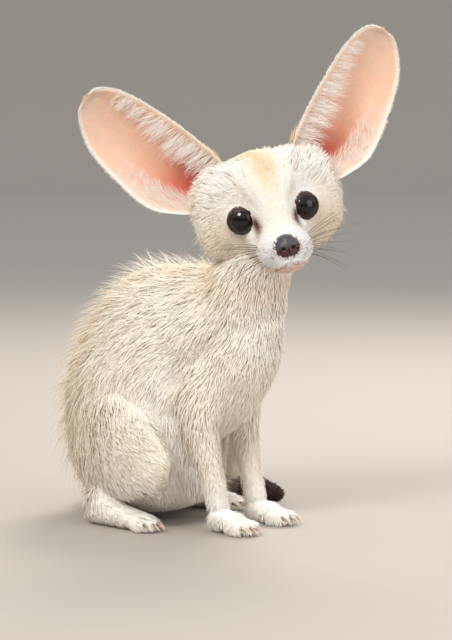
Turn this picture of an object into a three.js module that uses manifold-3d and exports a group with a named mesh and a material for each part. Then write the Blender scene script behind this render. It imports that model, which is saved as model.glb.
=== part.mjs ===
// A fennec fox kit of about six weeks, life-size, sitting hunched with its head turned to its right
// and rolled a little, so that the left ear stands higher. Millimetres, +Z up, floor at z = 0.
// The animal faces +X with its left side towards +Y. Inside the head group, x runs to the nose,
// y to the left ear and z up, from the point midway between the two corneas.

import * as THREE from "three";
import { LoftGeometry } from "three/addons/geometries/LoftGeometry.js";
import { mergeVertices } from "three/addons/utils/BufferGeometryUtils.js";
import Module from "manifold-3d";

const wasm = await Module();
wasm.setup();

// Driving dimensions.
const GAP = 0.3; // clearance between touching nodes
const EYES_AT = [50, -14, 141]; // midway between the corneas
const HEAD_YAW = -47;
const HEAD_PITCH = 7;
const HEAD_ROLL = 13;
const EYE_RADIUS = 7.2;
const EYE_SPREAD = 13.2; // from the middle of the head to the middle of each eyeball
const EYE_DEPTH = 6.6; // from the cornea's front to the middle of the eyeball
const EAR_LENGTH = 61;
const EAR_THICK = 1.8;
const TAIL_CUTS = [0.4, 0.76]; // where the tail is parted, as shares of its length
const TOES = 4;
const SOLE_CUT = 0.6; // how much of each pad the floor flattens

const rad = THREE.MathUtils.degToRad;
const vec = (x, y, z) => new THREE.Vector3(x, y, z);
const lerp = THREE.MathUtils.lerp;

// Colours of the plain model.
const finish = (color, roughness) => new THREE.MeshStandardMaterial({ color, roughness, metalness: 0 });
const CREAM = finish(0xf1e6d2, 0.9);
const EAR_PINK = finish(0xe8b094, 0.8);
const NOSE_SKIN = finish(0x40302f, 0.4);
const EYE_BROWN = finish(0x1c0f0a, 0.05);
const TAIL_DARK = finish(0x4a3527, 0.9);
const CLAW_HORN = finish(0xcdb8a0, 0.5);

// A closed geometry as a solid that can be joined and cut.
function solid(geometry) {
  const bare = new THREE.BufferGeometry().copy(geometry);
  bare.deleteAttribute("normal");
  bare.deleteAttribute("uv");
  const merged = mergeVertices(bare, 1e-4);
  return new wasm.Manifold(
    new wasm.Mesh({
      numProp: 3,
      vertProperties: merged.attributes.position.array,
      triVerts: new Uint32Array(merged.index.array),
    }),
  );
}

const join = (solids) => wasm.Manifold.union(solids);
const placed = (made, matrix) => made.transform(matrix.elements);

// The largest closed surface of a solid, which drops what a cut left loose.
function largest(made) {
  const bodies = made.decompose();
  bodies.sort((a, b) => b.volume() - a.volume());
  return bodies[0];
}

function mesh(name, made, material) {
  const data = largest(made).getMesh();
  const geometry = new THREE.BufferGeometry()
    .setAttribute("position", new THREE.BufferAttribute(new Float32Array(data.vertProperties), 3))
    .setIndex(new THREE.BufferAttribute(new Uint32Array(data.triVerts), 1));
  geometry.computeVertexNormals();
  const node = new THREE.Mesh(geometry, material);
  node.name = name;
  return node;
}

// A form: a skin drawn round a line of stations, each with its half width, its height over the line
// and its depth under it. Over is the side that "above" points to. Both ends close in a dome.
// A spread below one brings the rings closer together towards the end, and a crowd above nought
// brings the points of a ring closer together at its two sides.
const DOME_STEPS = 3;
const DOME_TURN = 0.45 * Math.PI;
class Form {
  constructor(stations, { around = 20, steps = 14, above, domes = [10, 10], sculpt, spread = 1, crowd = 0 }) {
    const through = (points) => new THREE.CatmullRomCurve3(points, false, "catmullrom", 0.5);
    this.path = through(stations.map((s) => vec(...s.at)));
    this.sizes = through(stations.map((s) => vec(s.wide, s.over, s.under ?? s.over)));
    this.length = this.path.getLength();
    Object.assign(this, { around, steps, domes, sculpt, spread, crowd, above: vec(...above).normalize() });
  }

  // Beyond either end the line runs straight on with the size it has there.
  section(t) {
    const inside = THREE.MathUtils.clamp(t, 0, 1);
    const ahead = this.path.getTangent(inside);
    const over = this.above.clone().addScaledVector(ahead, -this.above.dot(ahead)).normalize();
    const side = over.clone().cross(ahead);
    const centre = this.path.getPoint(inside).addScaledVector(ahead, (t - inside) * this.length);
    return { centre, ahead, over, side, size: this.sizes.getPoint(inside) };
  }

  // The point of a section at an angle from its side towards its top, after the sculpting.
  onSection({ centre, over, side, size }, angle, grow = 0, share = 1) {
    const up = Math.sin(angle);
    const tall = (up > 0 ? size.y : size.z) + grow;
    const point = centre
      .clone()
      .addScaledVector(side, (size.x + grow) * share * Math.cos(angle))
      .addScaledVector(over, tall * share * up);
    return this.sculpt ? this.sculpt(point) : point;
  }

  at(t, angle, grow = 0) {
    return this.onSection(this.section(t), angle, grow);
  }

  // Outward normal from two short steps on the surface.
  normal(t, angle) {
    const step = 0.01;
    const along = this.at(t + step, angle).sub(this.at(t - step, angle));
    const round = this.at(t, angle + step).sub(this.at(t, angle - step));
    return round.cross(along).normalize();
  }

  geometry(grow = 0) {
    const ring = (section, share) =>
      Array.from({ length: this.around }, (_, j) => {
        const even = (2 * Math.PI * j) / this.around;
        return this.onSection(section, even - (this.crowd / 2) * Math.sin(2 * even), grow, share);
      });
    const dome = (t, length, way) =>
      Array.from({ length: DOME_STEPS }, (_, k) => {
        const turn = (DOME_TURN * (k + 1)) / DOME_STEPS;
        const section = this.section(t);
        section.centre.addScaledVector(section.ahead, way * (length + grow) * Math.sin(turn));
        return ring(section, Math.cos(turn));
      });
    const rings = Array.from({ length: this.steps + 1 }, (_, i) =>
      ring(this.section((i / this.steps) ** this.spread), 1),
    );
    const back = dome(0, this.domes[0], -1).reverse();
    const front = dome(1, this.domes[1], 1);
    return new LoftGeometry([...back, ...rings, ...front], { capStart: true, capEnd: true });
  }

  solid(grow = 0) {
    return solid(this.geometry(grow));
  }
}

// A ball squeezed to three radii, at a place and turned about the upright axis.
function ball(at, radii, { turn = 0, tilt = 0, fine = [14, 10] } = {}) {
  const geometry = new THREE.SphereGeometry(1, ...fine)
    .scale(...radii)
    .applyMatrix4(new THREE.Matrix4().makeRotationFromEuler(new THREE.Euler(0, tilt, turn, "ZYX")))
    .translate(...at);
  return solid(geometry);
}

// A flat tapered lock through a line of centres. Its flat side faces the way given at each centre, and
// its section is a rhombus that is widest a third of the way along.
const LOCK_WIDTHS = [0.8, 1, 0.72, 0.06]; // shares of the half width from root to tip
const LOCK_THICKS = [1, 0.95, 0.7, 0.16];
function lock(centres, faces, wide, thick) {
  const rings = centres.map((centre, i) => {
    const before = centres[Math.max(i - 1, 0)];
    const ahead = centres[Math.min(i + 1, centres.length - 1)].clone().sub(before).normalize();
    const across = ahead.clone().cross(faces[i]).normalize();
    const up = across.clone().cross(ahead);
    const reach = across.multiplyScalar(wide * LOCK_WIDTHS[i]);
    const rise = up.multiplyScalar(thick * LOCK_THICKS[i]);
    return [reach, rise.clone().negate(), reach.clone().negate(), rise].map((step) => step.add(centre));
  });
  return solid(new LoftGeometry(rings, { capStart: true, capEnd: true }));
}

// A lock of the coat on a form. It starts under the skin, comes out through it and lies along the form
// with its tip lifted; a length below nought lies towards the form's start.
const LOCK_SEED = 11;
const LOCK_SHARES = [0, 0.36, 0.7, 1];
THREE.MathUtils.seededRandom(LOCK_SEED);
const draw = (low, high) => lerp(low, high, THREE.MathUtils.seededRandom());
const vary = (size) => size * draw(0.88, 1.12);
function lockOn(form, t, angle, { length, wide, thick = 1.1, sink = 2.4, lift, sway = 0 }) {
  const long = vary(length) / form.length;
  const sweep = sway + draw(-0.12, 0.12);
  const rise = [-sink, 0.3 * lift, 0.7 * lift, vary(lift)];
  const turns = LOCK_SHARES.map((share) => angle + sweep * share * share);
  const centres = LOCK_SHARES.map((share, i) => form.at(t + long * share, turns[i], rise[i]));
  const faces = LOCK_SHARES.map((share, i) => form.normal(t + long * share, turns[i]));
  return lock(centres, faces, vary(wide), thick);
}

// Rows of locks round a form, each row set off from the one before by half a step.
function rowsOf(form, { rows, turns, ...size }) {
  const step = turns[1] - turns[0];
  return rows.flatMap((t, row) => {
    const angles = row % 2 === 0 ? turns : turns.slice(0, -1).map((angle) => angle + step / 2);
    return angles.map((angle) => lockOn(form, t + draw(-0.01, 0.01), angle + draw(-0.06, 0.06), size));
  });
}

// Everything below the floor is taken off, so that what rests on it is flat there.
const UNDERGROUND = solid(new THREE.BoxGeometry(600, 600, 60).translate(0, 0, -30));
const onFloor = (made) => made.subtract(UNDERGROUND);

// The head: stations from the back of the skull to the lips.
const HEAD_STATIONS = [
  { at: [-44, 0, 2], wide: 17, over: 16, under: 16 },
  { at: [-34, 0, 2], wide: 28, over: 25, under: 24 },
  { at: [-22, 0, 1], wide: 33.5, over: 27.5, under: 27 },
  { at: [-12, 0, -0.5], wide: 31.8, over: 26.2, under: 26 },
  { at: [-6, 0, -2.5], wide: 26.4, over: 21, under: 23 },
  { at: [-1, 0, -5.4], wide: 19.6, over: 15.8, under: 19.5 },
  { at: [4, 0, -8.4], wide: 14.2, over: 12, under: 15.8 },
  { at: [9, 0, -10.4], wide: 11.8, over: 9.6, under: 13.6 },
  { at: [14, 0, -11.8], wide: 11, over: 8.3, under: 12 },
  { at: [18.5, 0, -12.6], wide: 9.4, over: 7, under: 10.2 },
  { at: [21.5, 0, -13], wide: 7.2, over: 5.6, under: 7.8 },
];

// Rounded swellings and hollows: where, how wide, and how far they push. In order the hollow at the
// corner of the eye, the cheek and the whisker pad.
const HEAD_SWELLS = [
  { at: [3, 8.5, -2], reach: 4.5, push: [-2.2, -1.4, 0] },
  { at: [-13, 31, -11], reach: 12, push: [0.5, 2, -1.5] },
  { at: [13, 9.5, -14.5], reach: 5.5, push: [0.5, 1.6, 0] },
];
const EYE_OUTWARD = 14; // degrees that each eye looks out from straight ahead
const SKIN_AT_EYE = EYE_RADIUS - 0.2; // the face closes in to this far from the eyeball's middle
const CLOSE_IN = { full: 64, none: 102, near: 12, far: 16 }; // degrees from the eye's axis, distance
const BRIDGE_HALF = [2.5, 5.5]; // the bridge of the nose keeps its shape inside this
const PINCH = { at: 3, reach: 7, share: 0.42, low: -12, high: -3 }; // narrows the bridge from here up
const eyeCentre = (side) => vec(-EYE_DEPTH, side * EYE_SPREAD, 0);
function sculptFace(point) {
  const p = point.clone();
  const pinch = PINCH.share * Math.exp(-(((p.x - PINCH.at) / PINCH.reach) ** 2));
  p.y *= 1 - pinch * THREE.MathUtils.smoothstep(p.z, PINCH.low, PINCH.high);
  for (const side of [1, -1]) {
    for (const { at, reach, push } of HEAD_SWELLS) {
      const share = Math.exp(-p.distanceToSquared(vec(at[0], side * at[1], at[2])) / (reach * reach));
      p.add(vec(push[0], side * push[1], push[2]).multiplyScalar(share));
    }
    const axis = vec(Math.cos(rad(EYE_OUTWARD)), side * Math.sin(rad(EYE_OUTWARD)), 0);
    const ray = p.clone().sub(eyeCentre(side));
    const turn = THREE.MathUtils.radToDeg(ray.angleTo(axis));
    const share =
      (1 - THREE.MathUtils.smoothstep(turn, CLOSE_IN.full, CLOSE_IN.none)) *
      (1 - THREE.MathUtils.smoothstep(ray.length(), CLOSE_IN.near, CLOSE_IN.far)) *
      THREE.MathUtils.smoothstep(side * p.y, ...BRIDGE_HALF);
    p.copy(eyeCentre(side)).add(ray.setLength(lerp(ray.length(), SKIN_AT_EYE, share)));
  }
  return p;
}
const head = new Form(HEAD_STATIONS, {
  around: 28,
  steps: 19,
  spread: 0.8,
  crowd: 0.3,
  above: [0, 0, 1],
  domes: [8, 2.2],
  sculpt: sculptFace,
});

const headGroup = new THREE.Group();
headGroup.position.set(...EYES_AT);
headGroup.rotation.set(rad(HEAD_ROLL), rad(HEAD_PITCH), rad(HEAD_YAW), "ZYX");
headGroup.updateMatrix();
const inHead = (x, y, z) => vec(x, y, z).applyMatrix4(headGroup.matrix);

// The eyes: balls turned a little outwards, each in a socket with a rim of lids.
const LID_THICK = 0.9;
const LID_REACH = 9.5; // how far the almond of the opening is drawn in front of the eyeball's middle
const LID_HALF = [8.8, 8]; // half its width and half its height there
const CANTHUS = 2.6; // how much further it runs towards the nose
const eyeball = (side, grow = 0) =>
  ball(eyeCentre(side).toArray(), Array(3).fill(EYE_RADIUS + grow), { fine: [12, 9] });

// What is cut away between the lids: an almond that narrows to the middle of the eyeball.
function lidOpening(side) {
  const LID_POINTS = 18;
  const ring = (reach) =>
    Array.from({ length: LID_POINTS }, (_, i) => {
      const a = (2 * Math.PI * i) / LID_POINTS;
      const towardsNose = Math.max(0, -Math.cos(a)) ** 4;
      const across = LID_HALF[0] * Math.cos(a) - CANTHUS * towardsNose;
      const tall = LID_HALF[1] * Math.sin(a) - 0.5 * CANTHUS * towardsNose;
      return vec(reach, side * across * (reach / LID_REACH), tall * (reach / LID_REACH));
    });
  const rings = [ring(0.4), ring(LID_REACH)].map((points) => (side > 0 ? points : points.reverse()));
  const geometry = new LoftGeometry(rings, { capStart: true, capEnd: true })
    .rotateZ(side * rad(EYE_OUTWARD))
    .translate(...eyeCentre(side));
  return solid(geometry);
}

// The nose leather: a rounded wedge with two nostrils that open forwards and to the sides.
const NOSE_AT = [21.6, 0, -10.3];
const noseBody = (grow = 0) =>
  join([
    ball(NOSE_AT, [3.6 + grow, 5 + grow, 4.2 + grow], { fine: [12, 8] }),
    ball([19.4, 0, -8], [4.6 + grow, 3.6 + grow, 3 + grow], { tilt: -0.25, fine: [10, 6] }),
  ]);
function nose() {
  const nostrils = [1, -1].flatMap((side) => [
    ball([25, side * 2.1, -10.2], [1.6, 1.1, 1.1], { fine: [6, 4] }),
    ball([24.2, side * 3.4, -11.4], [2.2, 1.1, 0.7], { fine: [6, 4] }),
  ]);
  const cleft = ball([25.4, 0, -12.4], [1.6, 0.35, 2.6], { fine: [8, 6] });
  return noseBody().subtract(join([...nostrils, cleft]));
}

// The mouth runs round the muzzle from under one eye to the other. A bead along it makes the lips,
// and a thinner line cut through the bead parts them.
const LIP_RADIUS = 1;
const MOUTH_RADIUS = 0.4;
function mouthPath() {
  const START = 0.63; // along the head, under the eye
  const FRONT = 0.985;
  const STEPS = 7;
  const half = Array.from({ length: STEPS }, (_, i) => {
    const share = i / (STEPS - 1);
    return { t: lerp(START, FRONT, share), angle: rad(lerp(-42, -47, share) - 6 * Math.sin(3 * share)) };
  });
  const left = half.map(({ t, angle }) => head.at(t, angle));
  const right = half.map(({ t, angle }) => head.at(t, Math.PI - angle)).reverse();
  return new THREE.CatmullRomCurve3([...left, vec(23.6, 0, -17.4), ...right], false, "catmullrom", 0.5);
}
function mouthBead(radius) {
  const SIDES = 5;
  const corner = (i) => new THREE.Vector2(radius, 0).rotateAround(new THREE.Vector2(), (2 * Math.PI * i) / SIDES);
  const ring = new THREE.Shape(Array.from({ length: SIDES }, (_, i) => corner(i)));
  return solid(new THREE.ExtrudeGeometry(ring, { extrudePath: mouthPath(), steps: 24 }));
}

function headSolid() {
  const lidBall = (side) =>
    ball(eyeCentre(side).toArray(), Array(3).fill(EYE_RADIUS + LID_THICK), { fine: [14, 10] });
  const face = join([head.solid(), lidBall(1), lidBall(-1), mouthBead(LIP_RADIUS)]);
  const sockets = [1, -1].flatMap((side) => [eyeball(side, GAP), lidOpening(side)]);
  const cleft = ball([24.2, 0, -16], [1, 0.35, 2], { fine: [8, 6] });
  return face.subtract(join([...sockets, noseBody(GAP), mouthBead(MOUTH_RADIUS), cleft]));
}

// The ears: deep cups. Each station gives the height along the ear and how far its two edges lie
// from its axis, the front one towards the crown and the rear one with the fold of the pocket.
const EAR_ROOT = [-21, 27, 17];
const EAR_SPLAY = 42; // degrees out from upright
const EAR_LEAN = 6; // degrees back
const EAR_TURN = 14; // degrees that the opening faces outwards
const EAR_STATIONS = [
  { along: -9, inner: -10.5, outer: 11, cup: 9 },
  { along: 0, inner: -14, outer: 17.5, cup: 12 },
  { along: 9, inner: -15, outer: 22, cup: 12.5 },
  { along: 18, inner: -15.6, outer: 22.6, cup: 11.5 },
  { along: 29, inner: -15.6, outer: 21, cup: 9.5 },
  { along: 40, inner: -15, outer: 18.6, cup: 7 },
  { along: 49, inner: -13.6, outer: 15, cup: 4.6 },
  { along: 55.5, inner: -11.2, outer: 10, cup: 2.6 },
  { along: 59.5, inner: -8, outer: 5.4, cup: 1.2 },
  { along: EAR_LENGTH, inner: -4.4, outer: 1.6, cup: 0.4 },
];
const EAR_ACROSS = 10;
function earFrame(side) {
  const frame = new THREE.Matrix4().makeTranslation(EAR_ROOT[0], side * EAR_ROOT[1], EAR_ROOT[2]);
  const splay = new THREE.Matrix4().makeRotationX(-side * rad(EAR_SPLAY));
  const lean = new THREE.Matrix4().makeRotationY(-rad(EAR_LEAN));
  const turn = new THREE.Matrix4().makeRotationZ(side * rad(EAR_TURN));
  return frame.multiply(splay).multiply(lean).multiply(turn);
}
const earCurve = new THREE.CatmullRomCurve3(
  EAR_STATIONS.map((s) => vec(s.inner, s.outer, s.cup)),
  false,
  "catmullrom",
  0.5,
);
const earRise = new THREE.CatmullRomCurve3(
  EAR_STATIONS.map((s) => vec(s.along, 0, 0)),
  false,
  "catmullrom",
  0.5,
);

// The middle of the ear's sheet at t from root to tip and s from the crown's edge (-1) to the rear (1).
function earSheet(side, t, s, offset = 0) {
  const { x: inner, y: outer, z: cup } = earCurve.getPoint(t);
  const half = (outer - inner) / 2;
  const across = (outer + inner) / 2 + half * s;
  const depth = -cup * (1 - Math.abs(s) ** 2.2) + offset;
  return vec(depth, side * across, earRise.getPoint(t).x);
}
function ear(side, grow = 0) {
  const frame = earFrame(side);
  const STEPS = 15;
  const rings = Array.from({ length: STEPS + 1 }, (_, i) => {
    const t = i / STEPS;
    const thick = EAR_THICK * lerp(1.5, 0.8, t);
    const face = (way) =>
      Array.from({ length: EAR_ACROSS + 1 }, (_, j) => {
        const s = -1 + (2 * j) / EAR_ACROSS;
        const edge = Math.sqrt(1 - 0.85 * s ** 6);
        return earSheet(side, t, s, way * ((thick * edge) / 2 + grow));
      });
    const front = face(1);
    const back = face(-1).reverse();
    const ring = [...front, ...back].map((p) => p.applyMatrix4(frame));
    return side > 0 ? ring : ring.reverse();
  });
  return solid(new LoftGeometry(rings, { capStart: true, capEnd: true }));
}

// The fringe inside an ear: locks that grow out of the wall under the crown's edge and lie over the
// opening, upwards and outwards, and shorter ones from the foot of the outer edge.
const FRINGE = [
  { t: 0.16, s: -1, over: 9, up: 12 },
  { t: 0.27, s: -1, over: 10, up: 13 },
  { t: 0.38, s: -1, over: 9.5, up: 13 },
  { t: 0.49, s: -1, over: 8, up: 12 },
  { t: 0.6, s: -1, over: 6, up: 10 },
  { t: 0.2, s: 1, over: 7, up: 11 },
];
const FRINGE_HALF = 2.1;
const FRINGE_THICK = 0.5;
function fringe(side) {
  const frame = earFrame(side);
  return FRINGE.map(({ t, s, over, up }) => {
    const reach = vary(over);
    const rise = vary(up);
    const wall = earSheet(side, t, 0.82 * s);
    const rim = earSheet(side, t, 0.97 * s, 0.2);
    const inwards = -side * s;
    const centres = [
      wall,
      rim.clone().add(vec(0, inwards * 0.8, 0.6)),
      rim.clone().add(vec(1.2, inwards * 0.6 * reach, 0.4 * rise)),
      rim.clone().add(vec(0.6, inwards * reach, rise)),
    ];
    const faces = [vec(0.2, inwards, 0), vec(1, inwards, 0), vec(1, 0, 0), vec(1, 0, 0)];
    const placedAll = (points) => points.map((point) => point.applyMatrix4(frame));
    const turned = faces.map((face) => face.normalize().transformDirection(frame));
    return lock(placedAll(centres), turned, FRINGE_HALF, FRINGE_THICK);
  });
}

// The neck, from inside the skull down to the shoulders. Over is its nape.
const NECK_STATIONS = [
  { at: inHead(-24, 0, -6).toArray(), wide: 22, over: 19, under: 19 },
  { at: [30, 0, 116], wide: 20.5, over: 21, under: 19 },
  { at: [26, 0, 102], wide: 22, over: 26, under: 20 },
  { at: [20, 0, 90], wide: 22, over: 25, under: 18 },
];
const neck = new Form(NECK_STATIONS, { around: 18, steps: 5, above: [-1, 0, 0.3], domes: [6, 10] });

// The torso: a hunched back down to the rump, and the brisket that carries the forelegs.
const TORSO_STATIONS = [
  { at: [25, 0, 97], wide: 21, over: 23, under: 19 },
  { at: [8, 0, 92], wide: 27, over: 31, under: 26 },
  { at: [-11, 0, 80], wide: 32, over: 43, under: 33 },
  { at: [-22, 0, 61], wide: 35.5, over: 48.5, under: 37 },
  { at: [-25, 0, 39], wide: 37, over: 46.5, under: 37 },
  { at: [-23, 0, 20], wide: 35, over: 40, under: 33 },
];
const torso = new Form(TORSO_STATIONS, { around: 20, steps: 11, above: [-1, 0, 0.4], domes: [8, 21.5] });
const BRISKET_STATIONS = [
  { at: [25, 0, 98], wide: 20, over: 20, under: 21 },
  { at: [22, 0, 80], wide: 21, over: 24, under: 22 },
  { at: [14, 0, 64], wide: 20, over: 24, under: 20 },
  { at: [4, 0, 50], wide: 18, over: 18, under: 15 },
];
const brisket = new Form(BRISKET_STATIONS, { around: 16, steps: 5, above: [-1, 0, 0.2], domes: [8, 8] });

// A foreleg: upper arm along the chest, elbow, upright forearm and wrist.
const foreleg = (side) =>
  new Form(
    [
      { at: [20, side * 13, 78], wide: 10.5, over: 16, under: 13 },
      { at: [13, side * 17, 58], wide: 9.8, over: 14, under: 12 },
      { at: [14, side * 16, 41], wide: 7.6, over: 9.6, under: 8.4 },
      { at: [18, side * 15, 24], wide: 6.2, over: 6.6, under: 6.4 },
      { at: [20.5, side * 14.5, 12], wide: 6, over: 6, under: 6 },
    ],
    { around: 9, steps: 5, above: [-1, 0, 0.2], domes: [6, 4] },
  );

// A hind leg folded under the body, so that only the haunch shows, with the foot under it.
const thigh = (side) =>
  new Form(
    [
      { at: [-41, side * 17, 46], wide: 14, over: 26, under: 27 },
      { at: [-29, side * 25, 40], wide: 14, over: 27, under: 32 },
      { at: [-12, side * 30, 33], wide: 11.5, over: 21, under: 25 },
      { at: [0, side * 31, 27], wide: 8.5, over: 13, under: 15 },
    ],
    { around: 11, steps: 4, above: [0, 0, 1], domes: [10, 7] },
  );
// A paw: the back of the foot, four toes with pads, all flattened where they meet the floor.
const PAWS = {
  front: { length: 13, wide: 6.6, tall: 5.6, heel: 5.6, toe: 3.5, fan: 3.3 },
  hind: { length: 30, wide: 6.4, tall: 5.8, heel: 12, toe: 3.4, fan: 3.1 },
};
function toePlace({ length, toe, fan }, index) {
  const across = (index - (TOES - 1) / 2) * fan;
  const middle = Math.abs(across) < fan ? 1 : 0;
  return vec(length + 2.4 * middle, across, toe - SOLE_CUT);
}
function paw(kind, grow = 0) {
  const size = PAWS[kind];
  const foot = new Form(
    [
      { at: [0, 0, size.tall + 1], wide: size.wide - 0.6, over: size.heel, under: size.tall + 1.6 },
      { at: [size.length * 0.5, 0, size.tall], wide: size.wide, over: size.tall - 0.6, under: size.tall + 0.4 },
      { at: [size.length, 0, size.tall - 1.6], wide: size.wide - 0.4, over: size.tall - 2.2, under: 4.4 },
    ],
    { around: 10, steps: 4, above: [0, 0, 1], domes: [5, 3] },
  );
  const toes = Array.from({ length: TOES }, (_, i) => {
    const at = toePlace(size, i);
    return ball(at.toArray(), [size.toe * 1.45, size.toe * 0.62, size.toe], { fine: [7, 5] });
  });
  return onFloor(join([foot.solid(grow), ...toes]));
}

// A claw: a curved cone out of the toe, kept clear of it and of the floor.
function claw(kind, index, grow = 0) {
  const size = PAWS[kind];
  const root = toePlace(size, index).add(vec(size.toe * 1.1, 0, 0.9));
  const CLAW_LENGTH = 4.6;
  const CLAW_SIDES = 5;
  const RINGS = 2;
  const rings = Array.from({ length: RINGS + 1 }, (_, i) => {
    const share = i / RINGS;
    const fall = 0.9 * share ** 2 * CLAW_LENGTH * 0.5;
    const centre = root.clone().add(vec(CLAW_LENGTH * share, 0, -fall));
    const radius = lerp(0.75, 0.14, share) + grow;
    return Array.from({ length: CLAW_SIDES }, (_, j) => {
      const a = (2 * Math.PI * j) / CLAW_SIDES;
      return centre.clone().add(vec(0, radius * Math.cos(a), 1.25 * radius * Math.sin(a)));
    });
  });
  return solid(new LoftGeometry(rings, { capStart: true, capEnd: true }));
}

// The tail, curled along the floor round the left side of the rump: a dense core inside a brush.
const TAIL_STATIONS = [
  { at: [-57, 0, 14], wide: 6.4, over: 6.4, under: 6.4 },
  { at: [-67, 13, 11], wide: 7.6, over: 7.6, under: 7.8 },
  { at: [-70, 32, 9.2], wide: 8.8, over: 8.8, under: 9.2 },
  { at: [-58, 51, 9], wide: 9.2, over: 9.2, under: 9.4 },
  { at: [-38, 59, 8.6], wide: 8.8, over: 8.8, under: 9 },
  { at: [-16, 60, 7.4], wide: 7.2, over: 7.2, under: 7.8 },
  { at: [2, 57, 5.4], wide: 4.4, over: 4.4, under: 5.2 },
];
const tail = new Form(TAIL_STATIONS, { around: 12, steps: 12, above: [0, 0, 1], domes: [6, 6] });
const BRUSH = {
  rows: [0.12, 0.26, 0.42, 0.57, 0.72, 0.87],
  turns: [-0.25, 0.97, 2.17, 3.39],
  length: 27,
  wide: 5,
  lift: 4.6,
};
const brushEnd = () => [0.5, 2.64].map((angle) => lockOn(tail, 0.98, angle, { ...BRUSH, length: 15, lift: 2 }));
function tailLengths(made) {
  const WAFER = 60;
  const pieces = TAIL_CUTS.map((share) => {
    const { centre, ahead } = tail.section(share);
    const turn = new THREE.Quaternion().setFromUnitVectors(vec(1, 0, 0), ahead);
    const wafer = new THREE.BoxGeometry(GAP, WAFER, WAFER).applyQuaternion(turn).translate(...centre.toArray());
    return solid(wafer);
  });
  const parted = made.subtract(join(pieces)).decompose();
  parted.sort((a, b) => b.volume() - a.volume());
  return parted.slice(0, TAIL_CUTS.length + 1);
}

// Putting the animal together. Each node gives way to the ones before it.
const fennec = new THREE.Group();
fennec.add(headGroup);

// The cheek ruff lies backwards from the cheeks, clear of the neck and the ears.
const RUFF = { rows: [0.37, 0.28], length: -18, wide: 4.8, lift: 4, sink: 2.2 };
const ruffOf = (side) => {
  const turns = [-0.95, -0.5, -0.05].map((angle) => (side > 0 ? angle : Math.PI - angle));
  return rowsOf(head, { ...RUFF, turns, sway: -0.25 * side });
};
const toHead = headGroup.matrix.clone().invert();
const besideHead = join([
  placed(join([neck.solid(GAP), torso.solid(GAP), brisket.solid(GAP)]), toHead),
  ...[1, -1].map((side) => ear(side, GAP)),
]);
const ruff = join([...ruffOf(1), ...ruffOf(-1)]).subtract(besideHead);
const headMade = largest(join([headSolid(), ruff]));
const headCore = join([head.solid(1.4 * GAP), mouthBead(LIP_RADIUS + 2 * GAP)]);
const headKept = join([headCore, ruff]);
headGroup.add(mesh("head", headMade, CREAM));
headGroup.add(mesh("nose_leather", nose(), NOSE_SKIN));
for (const [word, side] of [
  ["left", 1],
  ["right", -1],
]) {
  headGroup.add(mesh(`eye_${word}`, eyeball(side), EYE_BROWN));
  headGroup.add(mesh(`ear_${word}`, join([ear(side), ...fringe(side)]).subtract(headKept), EAR_PINK));
}

// Each leg stands in a frame of its own paw, turned out a little.
const LEGS = {
  foreleg: { kind: "front", at: [20.5, 14.5], turn: 4, upper: (side, grow) => [foreleg(side).solid(grow)] },
  hindleg: {
    kind: "hind",
    at: [-36, 30],
    turn: 6,
    upper: (side, grow) => [thigh(side).solid(grow)],
  },
};
const legsGrown = [];
for (const [word, side] of [
  ["left", 1],
  ["right", -1],
]) {
  for (const [name, { kind, at, turn, upper }] of Object.entries(LEGS)) {
    const foot = new THREE.Group();
    foot.position.set(at[0], side * at[1], 0);
    foot.rotation.set(0, 0, side * rad(turn));
    foot.updateMatrix();
    const claws = Array.from({ length: TOES }, (_, i) => placed(claw(kind, i, GAP), foot.matrix));
    const leg = join([...upper(side, 0), placed(paw(kind), foot.matrix)]).subtract(join(claws));
    fennec.add(mesh(`${name}_${word}`, onFloor(leg), CREAM));
    for (let i = 0; i < TOES; i++) foot.add(mesh(`claw_${kind}_${word}_${i + 1}`, claw(kind, i), CLAW_HORN));
    fennec.add(foot);
    legsGrown.push(...upper(side, GAP), placed(paw(kind, GAP), foot.matrix));
  }
}

// The lengths of the tail are told apart by how far along it their middles lie.
const middleOf = (made) => {
  const { min, max } = made.boundingBox();
  return vec(...min).add(vec(...max)).divideScalar(2);
};
const shareAlongTail = (point) => {
  const LOOKS = 60;
  const marks = Array.from({ length: LOOKS }, (_, i) => i / (LOOKS - 1));
  const distance = (t) => tail.path.getPoint(t).distanceTo(point);
  return marks.reduce((best, t) => (distance(t) < distance(best) ? t : best), 0);
};
const brush = join([...rowsOf(tail, BRUSH), ...brushEnd()]).subtract(join([torso.solid(GAP), ...legsGrown]));
const lengths = tailLengths(onFloor(join([tail.solid(), brush])));
lengths.sort((a, b) => shareAlongTail(middleOf(a)) - shareAlongTail(middleOf(b)));
["tail_root", "tail_middle", "tail_tip"].forEach((name, i) =>
  fennec.add(mesh(name, lengths[i], i === 2 ? TAIL_DARK : CREAM)),
);

// What the trunk gives way to behind: the tail's core, and its locks, which pass clear of the rump.
const tailGrown = join([tail.solid(GAP), ...lengths]);

// The trunk is made whole and parted by a thin cut where the neck leaves the shoulders.
const NECK_CUT = { at: [27, 0, 105], facing: [0.57, 0, 0.82] };
function halfSpace(way) {
  const SLAB = 300;
  const turn = new THREE.Quaternion().setFromUnitVectors(vec(0, 0, 1), vec(...NECK_CUT.facing).normalize());
  return solid(
    new THREE.BoxGeometry(SLAB, SLAB, SLAB)
      .translate(0, 0, way * (SLAB / 2 + GAP / 2))
      .applyQuaternion(turn)
      .translate(...NECK_CUT.at),
  );
}
const headInBody = placed(join([headCore, headMade]), headGroup.matrix);
const earsInBody = join([1, -1].map((side) => placed(ear(side, GAP), headGroup.matrix)));
const BACK = {
  rows: [0.12, 0.31, 0.5, 0.69, 0.88],
  turns: [-0.2, 0.68, 1.57, 2.46, 3.34],
  length: 20,
  wide: 7.4,
  thick: 1.5,
  lift: 5.4,
};
const BIB = { rows: [0.05, 0.3], turns: [-2.2, -1.57, -0.94], length: 17, wide: 4.6, lift: 4.4 };
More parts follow.
